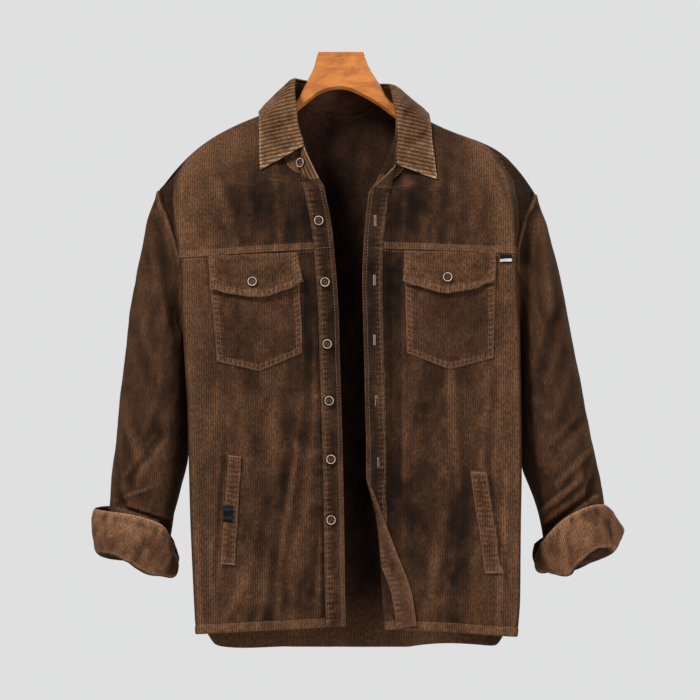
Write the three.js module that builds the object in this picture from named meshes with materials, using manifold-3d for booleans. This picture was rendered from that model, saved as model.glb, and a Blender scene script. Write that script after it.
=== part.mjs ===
// A brown corduroy jacket hanging open on a plain wooden hanger.
// Millimetres, +Z up, the front faces -Y. The origin is the middle of the hanger's flat top.
// "right" and "left" are the wearer's sides, so right is -X.
import * as THREE from "three";
import Module from "manifold-3d";

const wasm = await Module();
wasm.setup();

const CLOTH = 1.6; // thickness of the corduroy wall
const SEAM = 0.2; // each sewn edge stops this far from its seam line
const SEAT = 0.35; // clearance under a piece that lies on another
const TRIM = 1.4; // thickness of pockets, flaps and welts
const PLACKET = 26; // width of the button and buttonhole strips
const PLACKET_RISE = 0.6; // how much thicker the strips are than the panels
const BUTTON_RADIUS = 7.5;
const BUTTON_THICK = 3.2;
const HANGER_HALF_DEPTH = 6;

// Turns rows of numbers into objects with the named columns.
function table(columns, rows) {
  const names = columns.split(" ");
  return rows.map((row) => Object.fromEntries(names.map((name, i) => [name, row[i]])));
}

// Front panels: one row per section from the hem up to the shoulder seam.
// zi, zo: height at the front edge and at the side. arch: extra height between the two.
// xi, yi: front edge or neckline. xc, yc, rc: the fold beside the sleeve and its radius.
// bow: how far the chest stands out. xo, yo: side seam, armhole, then shoulder point.
// turn, roll: width and radius of the lower corner that is turned back.
const FRONT = "zi zo arch xi yi xc yc rc bow xo yo turn roll";
const FRONT_RIGHT = table(FRONT, [
  [-742.5, -756, 0, 6.5, -70, -187, -74, 14, 5, -173, -4, 0, 0],
  [-690, -700, 0, 5.2, -71, -190, -75, 14, 5, -175, -4, 0, 0],
  [-600, -608, 0, 4, -72, -194, -76, 14, 5, -179, -4, 0, 0],
  [-510, -510, 0, 2, -72, -196.3, -77, 14, 6, -183, -4, 0, 0],
  [-455, -458, 0, 0.5, -72, -197.5, -78, 14, 7, -186, -3, 0, 0],
  [-395, -407, 0, -1.5, -71, -200.5, -78, 14, 8, -192.4, -2, 0, 0],
  [-345, -365, 0, -2.6, -70, -202.8, -78, 14, 9, -198, -28, 0, 0],
  [-300, -318, 0, -5.2, -69, -204.8, -78, 14, 10, -203, -42, 0, 0],
  [-257, -272, 0, -9, -68, -205.5, -77, 14, 10, -207, -46, 0, 0],
  [-228, -246, 0, -12, -68, -211.5, -76, 14, 10, -213, -43, 0, 0],
  [-198, -224, 0, -17.5, -69, -216, -74, 14, 9, -220, -36, 0, 0],
  [-168, -207, 2, -27.5, -70, -219, -70, 16, 8, -227, -27, 0, 0],
  [-158, -197, 4, -61, -68, -219.5, -64, 20, 7, -231, -19, 0, 0],
  [-141, -190, 7, -72.5, -59, -218, -53, 24, 6, -233, -13.5, 0, 0],
  [-114, -185, 11, -79.5, -42, -214, -38, 28, 4, -234.2, -9, 0, 0],
  [-86, -181.5, 15, -77, -22, -208, -20, 30, 1, -234.8, -5, 0, 0],
  [-68.2, -179.7, 18.2, -69, -9, -205, -9, 30, 0, -235.2, -2, 0, 0],
  [-66.3, -179.4, 18.5, -67.6, 0, -205, 0, 30, 0, -235.3, 0, 0, 0],
]);
const FRONT_LEFT = table(FRONT, [
  [-747, -751, -6, 57.2, -68, 227, -74, 14, 4, 213, -4, 36, 4],
  [-700, -706, -3, 53.8, -69, 231, -75, 14, 4, 215, -4, 32, 4],
  [-650, -656, 0, 51, -70, 231.4, -76, 14, 4, 216.5, -4, 17, 3.6],
  [-605, -611, 0, 46, -71, 231.8, -76, 14, 5, 217.7, -4, 6.5, 2.8],
  [-575, -580, 0, 39.2, -71, 232.3, -76.5, 14, 5, 218.6, -4, 2.6, 2.2],
  [-545, -550, 0, 32.5, -72, 232.7, -77, 14, 6, 219.4, -4, 0, 0],
  [-510, -512, 0, 32.5, -72, 232.7, -77, 14, 6, 220, -4, 0, 0],
  [-458, -460, 0, 31.2, -72, 232, -78, 14, 7, 221, -3, 0, 0],
  [-398, -413, 0, 30, -71, 231, -78, 14, 8, 222.3, -2, 0, 0],
  [-345, -368, 0, 28.6, -70, 230, -78, 14, 9, 226, -28, 0, 0],
  [-300, -318, 0, 27.5, -69, 227, -78, 14, 10, 226.5, -41, 0, 0],
  [-257, -266, 0, 29, -68, 224.5, -77, 14, 10, 226.5, -43, 0, 0],
  [-228, -240, 0, 31, -68, 222.5, -76, 14, 10, 230, -39, 0, 0],
  [-203, -220, 0, 33.8, -69, 219.5, -74, 14, 9, 236.5, -32, 0, 0],
  [-179, -206, 2, 39, -70, 215, -70, 16, 8, 242, -24, 0, 0],
  [-168, -197, 4, 67, -68, 212, -64, 20, 7, 245.5, -18, 0, 0],
  [-151, -191.5, 7, 83, -59, 207, -53, 24, 6, 248, -13, 0, 0],
  [-121, -187.5, 12, 91, -42, 200, -38, 28, 4, 249.5, -8.5, 0, 0],
  [-89, -185.2, 18, 87, -22, 195, -20, 30, 1, 250.4, -5, 0, 0],
  [-70, -184.4, 22.6, 78, -9, 195, -9, 30, 0, 250.9, -2, 0, 0],
  [-68, -184, 23, 76, 0, 195, 0, 30, 0, 250.9, 0, 0, 0],
]);
const RIGHT_ROWS = { underarm: 5, yoke: 8, neck: 11, archPower: 1.3 };
const LEFT_ROWS = { underarm: 8, yoke: 11, neck: 14, archPower: 2.3 };

// Back panel: the middle line, then each half with the place beside the neck (k), the corner and the side.
const BACK = "zi zk zo arch xi yi xk yk xc yc rc xo yo";
const BACK_RIGHT = table(BACK, [
  [-777, -777, -756, -12, 12, 60, -64, 59, -160, 58, 24, -173, -4],
  [-700, -700, -700, 0, 12, 60, -64, 59, -163, 59, 24, -175, -4],
  [-606, -607, -608, 0, 11, 60, -65, 59, -168, 59, 24, -179, -4],
  [-510, -510, -510, 0, 10, 60, -65, 59, -173, 58, 24, -183, -4],
  [-456, -457, -458, 0, 10, 60, -66, 59, -177, 58, 24, -186, -3],
  [-405, -406, -407, 0, 9, 60, -66, 59, -181, 57, 24, -192.4, -2],
  [-350, -352, -362, 0, 8, 60, -67, 59, -189, 56, 24, -199, 26],
  [-296, -299, -316, 0, 7, 60, -67, 58, -196, 55, 22, -206, 38],
  [-240, -240, -270, 0, 6, 60, -68, 58, -201, 54, 22, -213, 38],
  [-190, -187, -228, 3, 5, 59, -68, 56, -203, 50, 22, -221, 32],
  [-152, -146, -202, 7, 4, 57, -68, 51, -204, 44, 24, -229, 23],
  [-122, -112, -188, 11, 4, 54, -68, 40, -205, 32, 26, -232.5, 13],
  [-100, -84, -182, 15, 4, 49, -68, 24, -206, 19, 28, -234.5, 6],
  [-85, -68.2, -179.7, 18.2, 4, 43, -67.8, 9, -205, 9, 30, -235.2, 2],
  [-82, -66.3, -179.4, 18.5, 4, 41, -67.6, 0, -205, 0, 30, -235.3, 0],
]);
const BACK_LEFT = table(BACK, [
  [-777, -777, -751, -16, 12, 60, 88, 59, 195, 58, 24, 213, -4],
  [-700, -700, -706, 0, 12, 60, 88, 59, 198, 59, 24, 215, -4],
  [-606, -607, -611, 0, 11, 60, 87, 59, 200, 59, 24, 217.7, -4],
  [-510, -510, -512, 0, 10, 60, 85, 59, 203, 58, 24, 220, -4],
  [-456, -457, -460, 0, 10, 60, 84, 59, 205, 58, 24, 221, -3],
  [-405, -407, -413, 0, 9, 60, 83, 59, 207, 57, 24, 222.3, -2],
  [-350, -352, -368, 0, 8, 60, 82, 59, 212, 56, 24, 227, 26],
  [-296, -299, -324, 0, 7, 60, 80, 58, 216, 55, 22, 232, 38],
  [-240, -240, -280, 0, 6, 60, 78, 58, 218, 54, 22, 237, 38],
  [-190, -187, -236, 3, 5, 59, 76, 56, 217, 50, 22, 242.5, 32],
  [-152, -146, -208.5, 7, 4, 57, 76, 51, 213, 44, 24, 247, 23],
  [-122, -114, -193.5, 12, 4, 54, 76, 40, 205, 32, 26, 249.4, 13],
  [-100, -86, -186.5, 18, 4, 49, 76, 24, 198, 19, 28, 250.5, 6],
  [-85, -70, -184.4, 22.6, 4, 43, 76, 9, 195, 9, 30, 250.9, 2],
  [-82, -68, -184, 23, 4, 41, 76, 0, 195, 0, 30, 250.9, 0],
]);
const BACK_UNDERARM = 5;

// Large soft folds of the fronts: a line from top to bottom, half width, and depth (minus is a trough).
const FOLDS = table("x0 z0 x1 z1 half depth", [
  [68, -190, 69, -530, 13, -7],
  [-60, -430, -88, -735, 26, -5],
  [-118, -400, -100, -560, 22, -4],
  [118, -430, 100, -640, 24, -4],
  [165, -440, 150, -735, 26, -5],
]);
const FOLD_FADE = 60; // length over which a fold dies out past each end

// Sleeves: outer and inner point of each ring, and half its depth front to back.
const RING = "xo zo xi zi half";
const SLEEVE_RIGHT = table(RING, [
  [-235.3, -179.4, -192.4, -407, 42],
  [-248.3, -210.6, -196.8, -408.2, 44],
  [-256.1, -244.4, -198, -413, 51],
  [-265.2, -289.9, -198, -426.4, 60],
  [-273, -335.4, -198, -447.2, 62],
  [-279.5, -390, -198, -475.8, 62],
  [-286, -445.9, -198.2, -504.4, 60],
  [-291.2, -501.8, -200.2, -534.3, 57],
  [-296.4, -546, -208, -564.2, 54],
  [-299.7, -582.4, -215.8, -595.4, 50],
  [-301.6, -608.4, -221, -625.3, 44],
  [-306.8, -635.7, -224.9, -660.4, 36],
]);
const SLEEVE_LEFT = table(RING, [
  [250.9, -184, 222.3, -413, 42],
  [262.6, -215.8, 227.3, -414.7, 44],
  [273, -248.3, 228.8, -419.5, 51],
  [283.4, -288.6, 229.2, -432.9, 60],
  [292.5, -335.4, 230.4, -453.7, 62],
  [302.2, -390, 231.4, -482.3, 62],
  [312, -436.8, 232.7, -510.9, 60],
  [321.1, -484.9, 235.3, -539.5, 57],
  [331.5, -533, 245.7, -566.8, 54],
  [339.3, -572, 256.1, -595.4, 50],
  [343.2, -601.9, 262.6, -627.9, 44],
  [345.8, -630.5, 266.5, -660.4, 36],
]);
const SLEEVE_BLEND = 4; // rings over which the armhole's shape turns into an ellipse

// Turned-back cuffs: lower and upper edge at each station, from the front end round the outside.
const CUFF = "xb yb zb xt yt zt";
const CUFF_RIGHT = table(CUFF, [
  [-217, -10, -681.5, -214.5, -8, -654],
  [-229, -28, -680, -218.5, -27, -636],
  [-245.7, -38, -677.3, -227.5, -44, -615.6],
  [-263.9, -49, -673.5, -249.6, -56, -604.5],
  [-288.6, -46, -662, -275.6, -60, -598],
  [-308.1, -27, -659.5, -299.7, -46, -595.4],
  [-317.2, 0, -652, -319.2, -4, -593.5],
  [-308.1, 27, -656, -309.4, 38, -591.5],
  [-280.8, 42, -663, -276.9, 56, -594.1],
  [-245.7, 36, -674.7, -240.5, 50, -611],
  [-229, 26, -680, -225, 38, -628],
  [-217.5, 8, -679.9, -213, 20, -647.4],
]);
const CUFF_LEFT = table(CUFF, [
  [256.5, -8, -674.7, 254.5, -7, -652],
  [268, -28, -676, 260, -29, -637],
  [289.9, -38, -679, 269.1, -46, -622.7],
  [308.8, -50, -669, 287.3, -58, -604.5],
  [326.3, -47, -661, 310.7, -61, -591.5],
  [341.9, -30, -661, 332.8, -48, -586.3],
  [353.6, -4, -650, 351.7, -14, -594.1],
  [353.6, 24, -651, 369, 30, -621.4],
  [334.1, 42, -663, 339.3, 54, -608.4],
  [297.7, 36, -676, 300.3, 50, -618.8],
  [273, 26, -677, 275, 42, -626],
  [256.1, 8, -674.7, 252.5, 22, -640],
]);
// Across a cuff: share of the way up the outside, and the soft swell outwards.
const CUFF_RISE = table("share swell", [
  [0.08, 2],
  [0.3, 4],
  [0.6, 4],
  [1, 0],
]);

// Collar: fold line on top of the stand and free edge of the leaf, evenly spaced from the right front end.
const COLLAR = table("xf yf zf xe ye ze", [
  [-46.8, -78, -128.7, -104, -60, -156.5],
  [-53, -66, -106, -105, -50, -135],
  [-58, -46, -80, -105.5, -36, -112],
  [-61, -22, -54, -106, -20, -90],
  [-59.8, 2, -38.5, -107, 4, -78.5],
  [-38, 32, -41, -74, 46, -88],
  [2, 47, -43, 4, 62, -92],
  [42, 32, -44, 80, 46, -90],
  [62.4, 2, -45.5, 114, 4, -81],
  [67, -22, -60, 116, -20, -93],
  [71, -44, -84, 118, -36, -118],
  [72, -64, -114, 121, -50, -142],
  [70.2, -78, -151.4, 123.5, -60, -167.7],
]);
const LEAF_START = 3.5; // the leaf starts this far above the top of the stand
const LEAF_CLEAR = 2.6; // the leaf keeps this far in front of the panel under it
const LEAF_DROP = 4; // and this far above it where the panel is steep
// Across the leaf: share of the way from fold to free edge, and how far it stands off the straight line.
const LEAF = table("share off", [
  [0, 0],
  [0.07, 3.8],
  [0.2, 4],
  [0.45, 3.5],
  [0.75, 2],
  [1, 0],
]);

// Outlines seen from the front, x and z.
const FLAP_RIGHT = [[-171.6, -266.5], [-55.9, -262.6], [-52, -299.7], [-104, -319.8], [-166.4, -310.7]];
const POCKET_RIGHT = [[-170.3, -273], [-54.6, -269.1], [-49.4, -391.3], [-104, -414.7], [-158.6, -403]];
const FLAP_LEFT = [[81.9, -260], [200.2, -262.6], [197.6, -299.7], [139.1, -314.6], [81.9, -299.7]];
const POCKET_LEFT = [[81.9, -267.8], [198.9, -269.1], [196.3, -397.8], [139.1, -412.1], [84.5, -391.3]];
const WELT_RIGHT = [[-144.3, -521.3], [-127.4, -523.9], [-135.2, -664.3], [-155.2, -661.7]];
const WELT_LEFT = [[166.4, -542.1], [185.9, -543.4], [208, -674.7], [184.6, -674.7]];
const LABEL_POCKET = [[-150.5, -586.3], [-137.5, -587.6], [-138.5, -608.4], [-151.5, -607.1]];
const LABEL_YOKE = [[204, -264.5], [219.5, -265.5], [219.5, -276], [204, -275]];

// Buttons of the right front, from the collar stand down, then one on each flap.
const BUTTONS = table("x z", [
  [-50.7, -146.9],
  [-28.6, -221],
  [-20.8, -300.3],
  [-18.2, -379.6],
  [-15.6, -452.4],
  [-13, -527.8],
  [-13, -605.8],
]);
const FLAP_BUTTON_RIGHT = { x: -113.1, z: -300.3 };
const FLAP_BUTTON_LEFT = { x: 136.5, z: -294.4 };

// Hanger: lower outline beside the arms, x, top and bottom; the arms follow the shoulder seams.
const HANGER_TOP_HALF = 29.35;
const HANGER_BLOCK = table("x top bottom", [
  [-69, -69.5, -88],
  [-64, -67.4, -83.5],
  [-58.5, -62.4, -79],
  [-52, -54, -73.5],
  [-46.8, -44, -69.3],
  [-43, -36, -66.4],
  [-40, -30.5, -64],
  [-37, -25, -61.6],
  [-34.4, -18, -59.3],
  [-32, -9, -57.2],
  [-HANGER_TOP_HALF, 0, -55.8],
  [-24.7, 0, -53.2],
  [-19, 0, -51.3],
  [-13.4, 0, -49.8],
  [-7.5, 0, -48.9],
  [-2.2, 0, -48.5],
  [3.5, 0, -48.9],
  [9, 0, -49.8],
  [14.5, 0, -51.7],
  [20, 0, -54.1],
  [HANGER_TOP_HALF, 0, -58.7],
  [33, -10.5, -60.7],
  [36, -18, -62.4],
  [40, -26.5, -64.7],
  [45, -34.5, -67.7],
  [50.7, -43, -71.5],
  [58, -56, -76.9],
  [65, -65.5, -82.3],
  [71, -70, -87],
  [77, -71.8, -91],
]);
const HANGER_ARM_HEIGHT = 19;
const HANGER_SLACK = 0.1; // the back's seam line bends at other places than the arms do
const HANGER_TIP_RIGHT = -205;
const HANGER_TIP_LEFT = 208;
const HANGER_EDGE = 4; // bevel along the arms
const HANGER_ARM_START = 84; // from here the arms lie under the shoulder seams

// Small helpers on points [x, y, z].
const add = (a, b, k = 1) => a.map((v, i) => v + b[i] * k);
const sub = (a, b) => a.map((v, i) => v - b[i]);
const mix = (a, b, t) => a.map((v, i) => v + (b[i] - v) * t);
const size = (a) => Math.hypot(...a);
const unit = (a) => {
  const s = size(a) || 1;
  return a.map((v) => v / s);
};
const cross = (a, b) => [
  a[1] * b[2] - a[2] * b[1],
  a[2] * b[0] - a[0] * b[2],
  a[0] * b[1] - a[1] * b[0],
];
const smooth = (t) => {
  const c = Math.min(1, Math.max(0, t));
  return c * c * (3 - 2 * c);
};
const lastOf = (row) => row[row.length - 1];
const span = (from, to, count) =>
  Array.from({ length: count + 1 }, (_, i) => from + ((to - from) * i) / count);

// Slope of a curve between two steps of a table, kept small enough that it never overshoots.
function slope(before, after) {
  if (before * after <= 0) return 0;
  const most = 3 * Math.min(Math.abs(before), Math.abs(after));
  return Math.sign(before) * Math.min(Math.abs(before + after) / 2, most);
}

// A table read between its rows: a smooth curve through each column.
function between(rows, v) {
  const last = rows.length - 1;
  const i = Math.min(last - 1, Math.max(0, Math.floor(v)));
  const t = v - i;
  const a = rows[Math.max(0, i - 1)];
  const b = rows[i];
  const c = rows[i + 1];
  const d = rows[Math.min(last, i + 2)];
  const out = {};
  for (const key of Object.keys(b)) {
    const m0 = slope(b[key] - a[key], c[key] - b[key]);
    const m1 = slope(c[key] - b[key], d[key] - c[key]);
    const t2 = t * t;
    const t3 = t2 * t;
    out[key] =
      (2 * t3 - 3 * t2 + 1) * b[key] + (t3 - 2 * t2 + t) * m0 + (3 * t2 - 2 * t3) * c[key] + (t3 - t2) * m1;
  }
  return out;
}

// Depth of the soft folds at a point of the front.
function foldDepth(x, z) {
  let depth = 0;
  for (const f of FOLDS) {
    const along = (f.z0 - z) / (f.z0 - f.z1);
    const centre = f.x0 + (f.x1 - f.x0) * Math.min(1, Math.max(0, along));
    const past = Math.max(z - f.z0, f.z1 - z, 0);
    const across = Math.abs(x - centre) / f.half;
    if (across < 1 && past < FOLD_FADE) {
      depth += f.depth * (1 - smooth(across)) * (1 - smooth(past / FOLD_FADE));
    }
  }
  return depth;
}

// One point of a front. s is the distance from the free edge along the cloth; past the straight part
// the station u runs 1 to 2 round the fold and 2 to 3 back to the side.
function frontSection(r, side) {
  const start = [r.xi + side * r.roll, r.yi];
  const corner = [r.xc, r.yc];
  const end = [r.xo, r.yo];
  const inLength = size(sub(corner, start));
  const outLength = size(sub(end, corner));
  const p = mix(corner, start, Math.min(r.rc / inLength, 0.8));
  const q = mix(corner, end, Math.min(r.rc / outLength, 0.8));
  return { start, corner, end, p, q, straight: size(sub(p, start)), bend: size(sub(q, p)) * 1.1 };
}
function frontPoint(r, side, archPower, s, u) {
  const f = frontSection(r, side);
  const total = f.straight + f.bend + size(sub(f.end, f.q));
  const rolled = r.turn + Math.PI * r.roll;
  let plan;
  let run;
  let lift = 0;
  if (u > 2) {
    plan = mix(f.q, f.end, u - 2);
    run = f.straight + f.bend + size(sub(f.end, f.q)) * (u - 2);
  } else if (u > 1) {
    plan = mix(mix(f.p, f.corner, u - 1), mix(f.corner, f.q, u - 1), u - 1);
    run = f.straight + f.bend * (u - 1);
  } else {
    const d = u === null ? s - rolled : f.straight * u;
    run = Math.max(0, d);
    const t = run / f.straight;
    plan = mix(f.start, f.p, t);
    plan[1] -= r.bow * Math.sin(Math.PI * t) ** 2;
    if (d < 0 && r.roll > 0) {
      const angle = Math.min(Math.PI, -d / r.roll);
      plan[0] -= side * r.roll * Math.sin(angle);
      plan[1] -= r.roll * (1 - Math.cos(angle));
      const back = Math.max(0, r.turn - s);
      plan[0] += side * back;
      lift = back * 0.16;
    }
  }
  const t = Math.min(1, run / total);
  const z = r.zi + (r.zo - r.zi) * t + r.arch * Math.sin(Math.PI * t ** archPower) + lift;
  const fold = u !== null && u > 1 ? 0 : foldDepth(plan[0], z);
  return [plan[0], plan[1] - fold, z];
}

// Levels between two rows of a table, with more of them where rows are far apart.
function levels(rows, from, to, step) {
  const out = [];
  for (let i = from; i < to; i += 1) {
    const gap = Math.abs(rows[i + 1].zi - rows[i].zi);
    const count = Math.max(1, Math.round(gap / step));
    for (let j = 0; j < count; j += 1) out.push(i + j / count);
  }
  out.push(to);
  return out;
}

const ROW_STEP = 34;
const NEAR_EDGE = [0, 4, 8, 12, 17, 23, 32];
const STRAIGHT_COLUMNS = 6;
const BEND = [1.33, 1.67, 2];
const WALL = [2.5, 3];

// Moves the nearest inner distance of a row onto the middle of the turned edge's roll.
function snapped(distances, r) {
  const middle = r.turn + (Math.PI * r.roll) / 2;
  const last = distances.length - 1;
  if (r.roll === 0 || middle < distances[0] || middle > distances[last]) return distances;
  const inner = distances.slice(1, -1);
  const near = inner.reduce((a, b) => (Math.abs(b - middle) < Math.abs(a - middle) ? b : a));
  return distances.map((d, i) => (i > 0 && i < last && d === near ? middle : d));
}

function panelRow(rows, side, names, v) {
  const r = between(rows, v);
  const f = frontSection(r, side);
  const rolled = r.turn + Math.PI * r.roll;
  const first = v > names.neck ? 0 : PLACKET;
  const near = snapped(NEAR_EDGE.map((d) => first + d), r).map((d) =>
    frontPoint(r, side, names.archPower, d, null),
  );
  const from = (first + NEAR_EDGE[NEAR_EDGE.length - 1] - rolled) / f.straight;
  const rest = [...span(from, 1, STRAIGHT_COLUMNS).slice(1), ...BEND, ...WALL];
  return [...near, ...rest.map((u) => frontPoint(r, side, names.archPower, 0, u))];
}
function panelGrid(rows, side, names, from, to) {
  return levels(rows, from, to, ROW_STEP).map((v) => panelRow(rows, side, names, v));
}
function placketGrid(rows, side, names, columns) {
  return levels(rows, 0, names.neck, ROW_STEP).map((v) => {
    const r = between(rows, v);
    return snapped(span(0, PLACKET, columns), r).map((s) => frontPoint(r, side, names.archPower, s, null));
  });
}

// Half of one back row, from the middle line to the side.
function backHalf(r, archPower) {
  const k = [r.xk, r.yk];
  const corner = [r.xc, r.yc];
  const end = [r.xo, r.yo];
  const p = mix(corner, k, Math.min(0.8, r.rc / size(sub(corner, k))));
  const q = mix(corner, end, Math.min(0.8, r.rc / size(sub(corner, end))));
  const total = size(sub(p, k)) + size(sub(q, p)) * 1.1 + size(sub(end, q));
  const at = (plan, run) => {
    const t = run / total;
    return [plan[0], plan[1], r.zk + (r.zo - r.zk) * t + r.arch * Math.sin(Math.PI * t ** archPower)];
  };
  const inner = [0, 0.34, 0.68].map((t) => {
    const m = mix([r.xi, r.yi], k, t);
    m[1] += (r.yi - r.yk) * 0.35 * Math.sin(Math.PI * t);
    return [m[0], m[1], r.zi + (r.zk - r.zi) * smooth(t)];
  });
  const straight = span(0, 1, 6).map((t) => at(mix(k, p, t), size(sub(p, k)) * t));
  const bend = [0.33, 0.67, 1].map((t) =>
    at(mix(mix(p, corner, t), mix(corner, q, t), t), size(sub(p, k)) + size(sub(q, p)) * 1.1 * t),
  );
  const wall = [0.5, 1].map((t) => at(mix(q, end, t), total - size(sub(end, q)) * (1 - t)));
  return [...inner, ...straight, ...bend, ...wall];
}
const BACK_K = 3; // index of the place beside the neck in half a back row
function backRow(v) {
  const right = backHalf(between(BACK_RIGHT, v), RIGHT_ROWS.archPower);
  const left = backHalf(between(BACK_LEFT, v), LEFT_ROWS.archPower);
  return [...right.slice(1).reverse(), ...left];
}

// Unit normals of a grid; wrap joins its last column to its first.
function normalsOf(grid, wrap, flip) {
  const rows = grid.length;
  const columns = grid[0].length;
  const at = (i, j) => {
    const row = grid[Math.min(rows - 1, Math.max(0, i))];
    return row[wrap ? (j + columns) % columns : Math.min(columns - 1, Math.max(0, j))];
  };
  return grid.map((row, i) =>
    row.map((_, j) => {
      const n = unit(cross(sub(at(i, j + 1), at(i, j - 1)), sub(at(i + 1, j), at(i - 1, j))));
      return flip ? n.map((v) => -v) : n;
    }),
  );
}

// A sheet of cloth: its middle surface, its normals, and the edges that are sewn.
function sheet(grid, { wrap = false, flip = false } = {}) {
  return { grid, wrap, flip, normals: normalsOf(grid, wrap, flip) };
}

// Makes sheets that share border points share one normal there, so that their walls meet in a mitre.
function shareNormals(sheets) {
  const border = [];
  for (const s of sheets) {
    s.grid.forEach((row, i) =>
      row.forEach((point, j) => {
        const edge = i === 0 || i === s.grid.length - 1 || (!s.wrap && (j === 0 || j === row.length - 1));
        if (edge) border.push({ s, i, j, point, n: s.normals[i][j] });
      }),
    );
  }
  for (const b of border) {
    const near = border.filter((o) => size(sub(o.point, b.point)) < SEAM);
    b.s.normals[b.i][b.j] = unit(near.reduce((sum, o) => add(sum, o.n), [0, 0, 0]));
  }
}

// Pulls the border in from its seam line, square to it: rows first and last, columns first and last.
function trimmed(s, [bottom, top, first, last]) {
  const g = s.grid.map((row) => row.map((p) => [...p]));
  const rows = g.length;
  const columns = g[0].length;
  const at = (i, j) => {
    const row = s.grid[Math.min(rows - 1, Math.max(0, i))];
    return row[s.wrap ? (j + columns) % columns : Math.min(columns - 1, Math.max(0, j))];
  };
  const pull = (i, j, di, dj, amount) => {
    const along = unit(sub(at(i + dj, j + di), at(i - dj, j - di)));
    const inwards = sub(at(i + di, j + dj), at(i, j));
    const dot = inwards.reduce((sum, v, k) => sum + v * along[k], 0);
    g[i][j] = add(g[i][j], unit(add(inwards, along, -dot)), SEAM * amount);
  };
  for (let j = 0; j < columns; j += 1) {
    if (bottom) pull(0, j, 1, 0, bottom);
    if (top) pull(rows - 1, j, -1, 0, top);
  }
  for (let i = 0; i < rows; i += 1) {
    if (first) pull(i, 0, 0, 1, first);
    if (last) pull(i, columns - 1, 0, -1, last);
  }
  return { ...s, grid: g };
}

// A closed wall between two offsets of a sheet, as triangles for a mesh.
function wallTriangles(s, inner, outer) {
  const rows = s.grid.length;
  const columns = s.grid[0].length;
  const points = [];
  for (const offset of [inner, outer]) {
    s.grid.forEach((row, i) => row.forEach((p, j) => points.push(add(p, s.normals[i][j], offset))));
  }
  const id = (side, i, j) => side * rows * columns + i * columns + (j % columns);
  const faces = [];
  const quad = (a, b, c, d) => {
    if (s.flip) faces.push([a, c, b], [a, d, c]);
    else faces.push([a, b, c], [a, c, d]);
  };
  const across = s.wrap ? columns : columns - 1;
  for (let i = 0; i < rows - 1; i += 1) {
    for (let j = 0; j < across; j += 1) {
      quad(id(1, i, j), id(1, i, j + 1), id(1, i + 1, j + 1), id(1, i + 1, j));
      quad(id(0, i, j), id(0, i + 1, j), id(0, i + 1, j + 1), id(0, i, j + 1));
    }
  }
  for (let j = 0; j < across; j += 1) {
    quad(id(0, 0, j), id(0, 0, j + 1), id(1, 0, j + 1), id(1, 0, j));
    quad(id(0, rows - 1, j + 1), id(0, rows - 1, j), id(1, rows - 1, j), id(1, rows - 1, j + 1));
  }
  if (!s.wrap) {
    for (let i = 0; i < rows - 1; i += 1) {
      quad(id(0, i + 1, 0), id(0, i, 0), id(1, i, 0), id(1, i + 1, 0));
      quad(id(0, i, columns - 1), id(0, i + 1, columns - 1), id(1, i + 1, columns - 1), id(1, i, columns - 1));
    }
  }
  return { points, faces };
}
function solidFrom({ points, faces }) {
  return new wasm.Manifold(
    new wasm.Mesh({
      numProp: 3,
      vertProperties: new Float32Array(points.flat()),
      triVerts: new Uint32Array(faces.flat()),
    }),
  );
}
function geometryOf(solid) {
  const m = solid.getMesh();
  const geometry = new THREE.BufferGeometry();
  const positions = new Float32Array(m.numVert * 3);
  for (let i = 0; i < m.numVert; i += 1) {
    positions.set(m.vertProperties.subarray(i * m.numProp, i * m.numProp + 3), i * 3);
  }
  geometry.setAttribute("position", new THREE.BufferAttribute(positions, 3));
  geometry.setIndex(new THREE.BufferAttribute(new Uint32Array(m.triVerts), 1));
  return geometry;
}

const corduroy = new THREE.MeshStandardMaterial({ color: "#4a3527", roughness: 0.95, metalness: 0 });
const cuffCorduroy = new THREE.MeshStandardMaterial({ color: "#7a5a43", roughness: 0.95, metalness: 0 });
const wood = new THREE.MeshStandardMaterial({ color: "#d08342", roughness: 0.45, metalness: 0 });
const horn = new THREE.MeshStandardMaterial({ color: "#a98f70", roughness: 0.4, metalness: 0 });
const tape = new THREE.MeshStandardMaterial({ color: "#17171a", roughness: 0.85, metalness: 0 });

const root = new THREE.Group();
root.name = "corduroy_jacket_on_hanger";
function place(name, solid, material) {
  const mesh = new THREE.Mesh(geometryOf(solid), material);
  mesh.name = name;
  root.add(mesh);
}

// Body sheets. The right fronts run towards -X, so their normals are turned round.
const SIDES = {
  right: { rows: FRONT_RIGHT, side: -1, names: RIGHT_ROWS, flip: true },
  left: { rows: FRONT_LEFT, side: 1, names: LEFT_ROWS, flip: false },
};
const sheets = {};
for (const [name, s] of Object.entries(SIDES)) {
  const last = s.rows.length - 1;
  sheets["front_" + name] = sheet(panelGrid(s.rows, s.side, s.names, 0, s.names.yoke), { flip: s.flip });
  sheets["front_yoke_" + name] = sheet(panelGrid(s.rows, s.side, s.names, s.names.yoke, last), {
    flip: s.flip,
  });
  sheets["placket_" + name] = sheet(placketGrid(s.rows, s.side, s.names, name === "left" ? 8 : 3), {
    flip: s.flip,
  });
}
const backLevels = levels(BACK_RIGHT, 0, BACK_RIGHT.length - 1, ROW_STEP);
sheets.back = sheet(backLevels.map(backRow), { flip: true });

// The seam between front and back on top of the shoulder is level across the hanger's arm.
for (const name of ["front_yoke_right", "front_yoke_left", "back"]) {
  const s = sheets[name];
  const seam = lastOf(s.grid);
  s.normals[s.grid.length - 1] = lastOf(s.normals).map((n, j) =>
    Math.abs(seam[j][1]) < 1 ? unit([n[0], 0, n[2]]) : n,
  );
}

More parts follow.
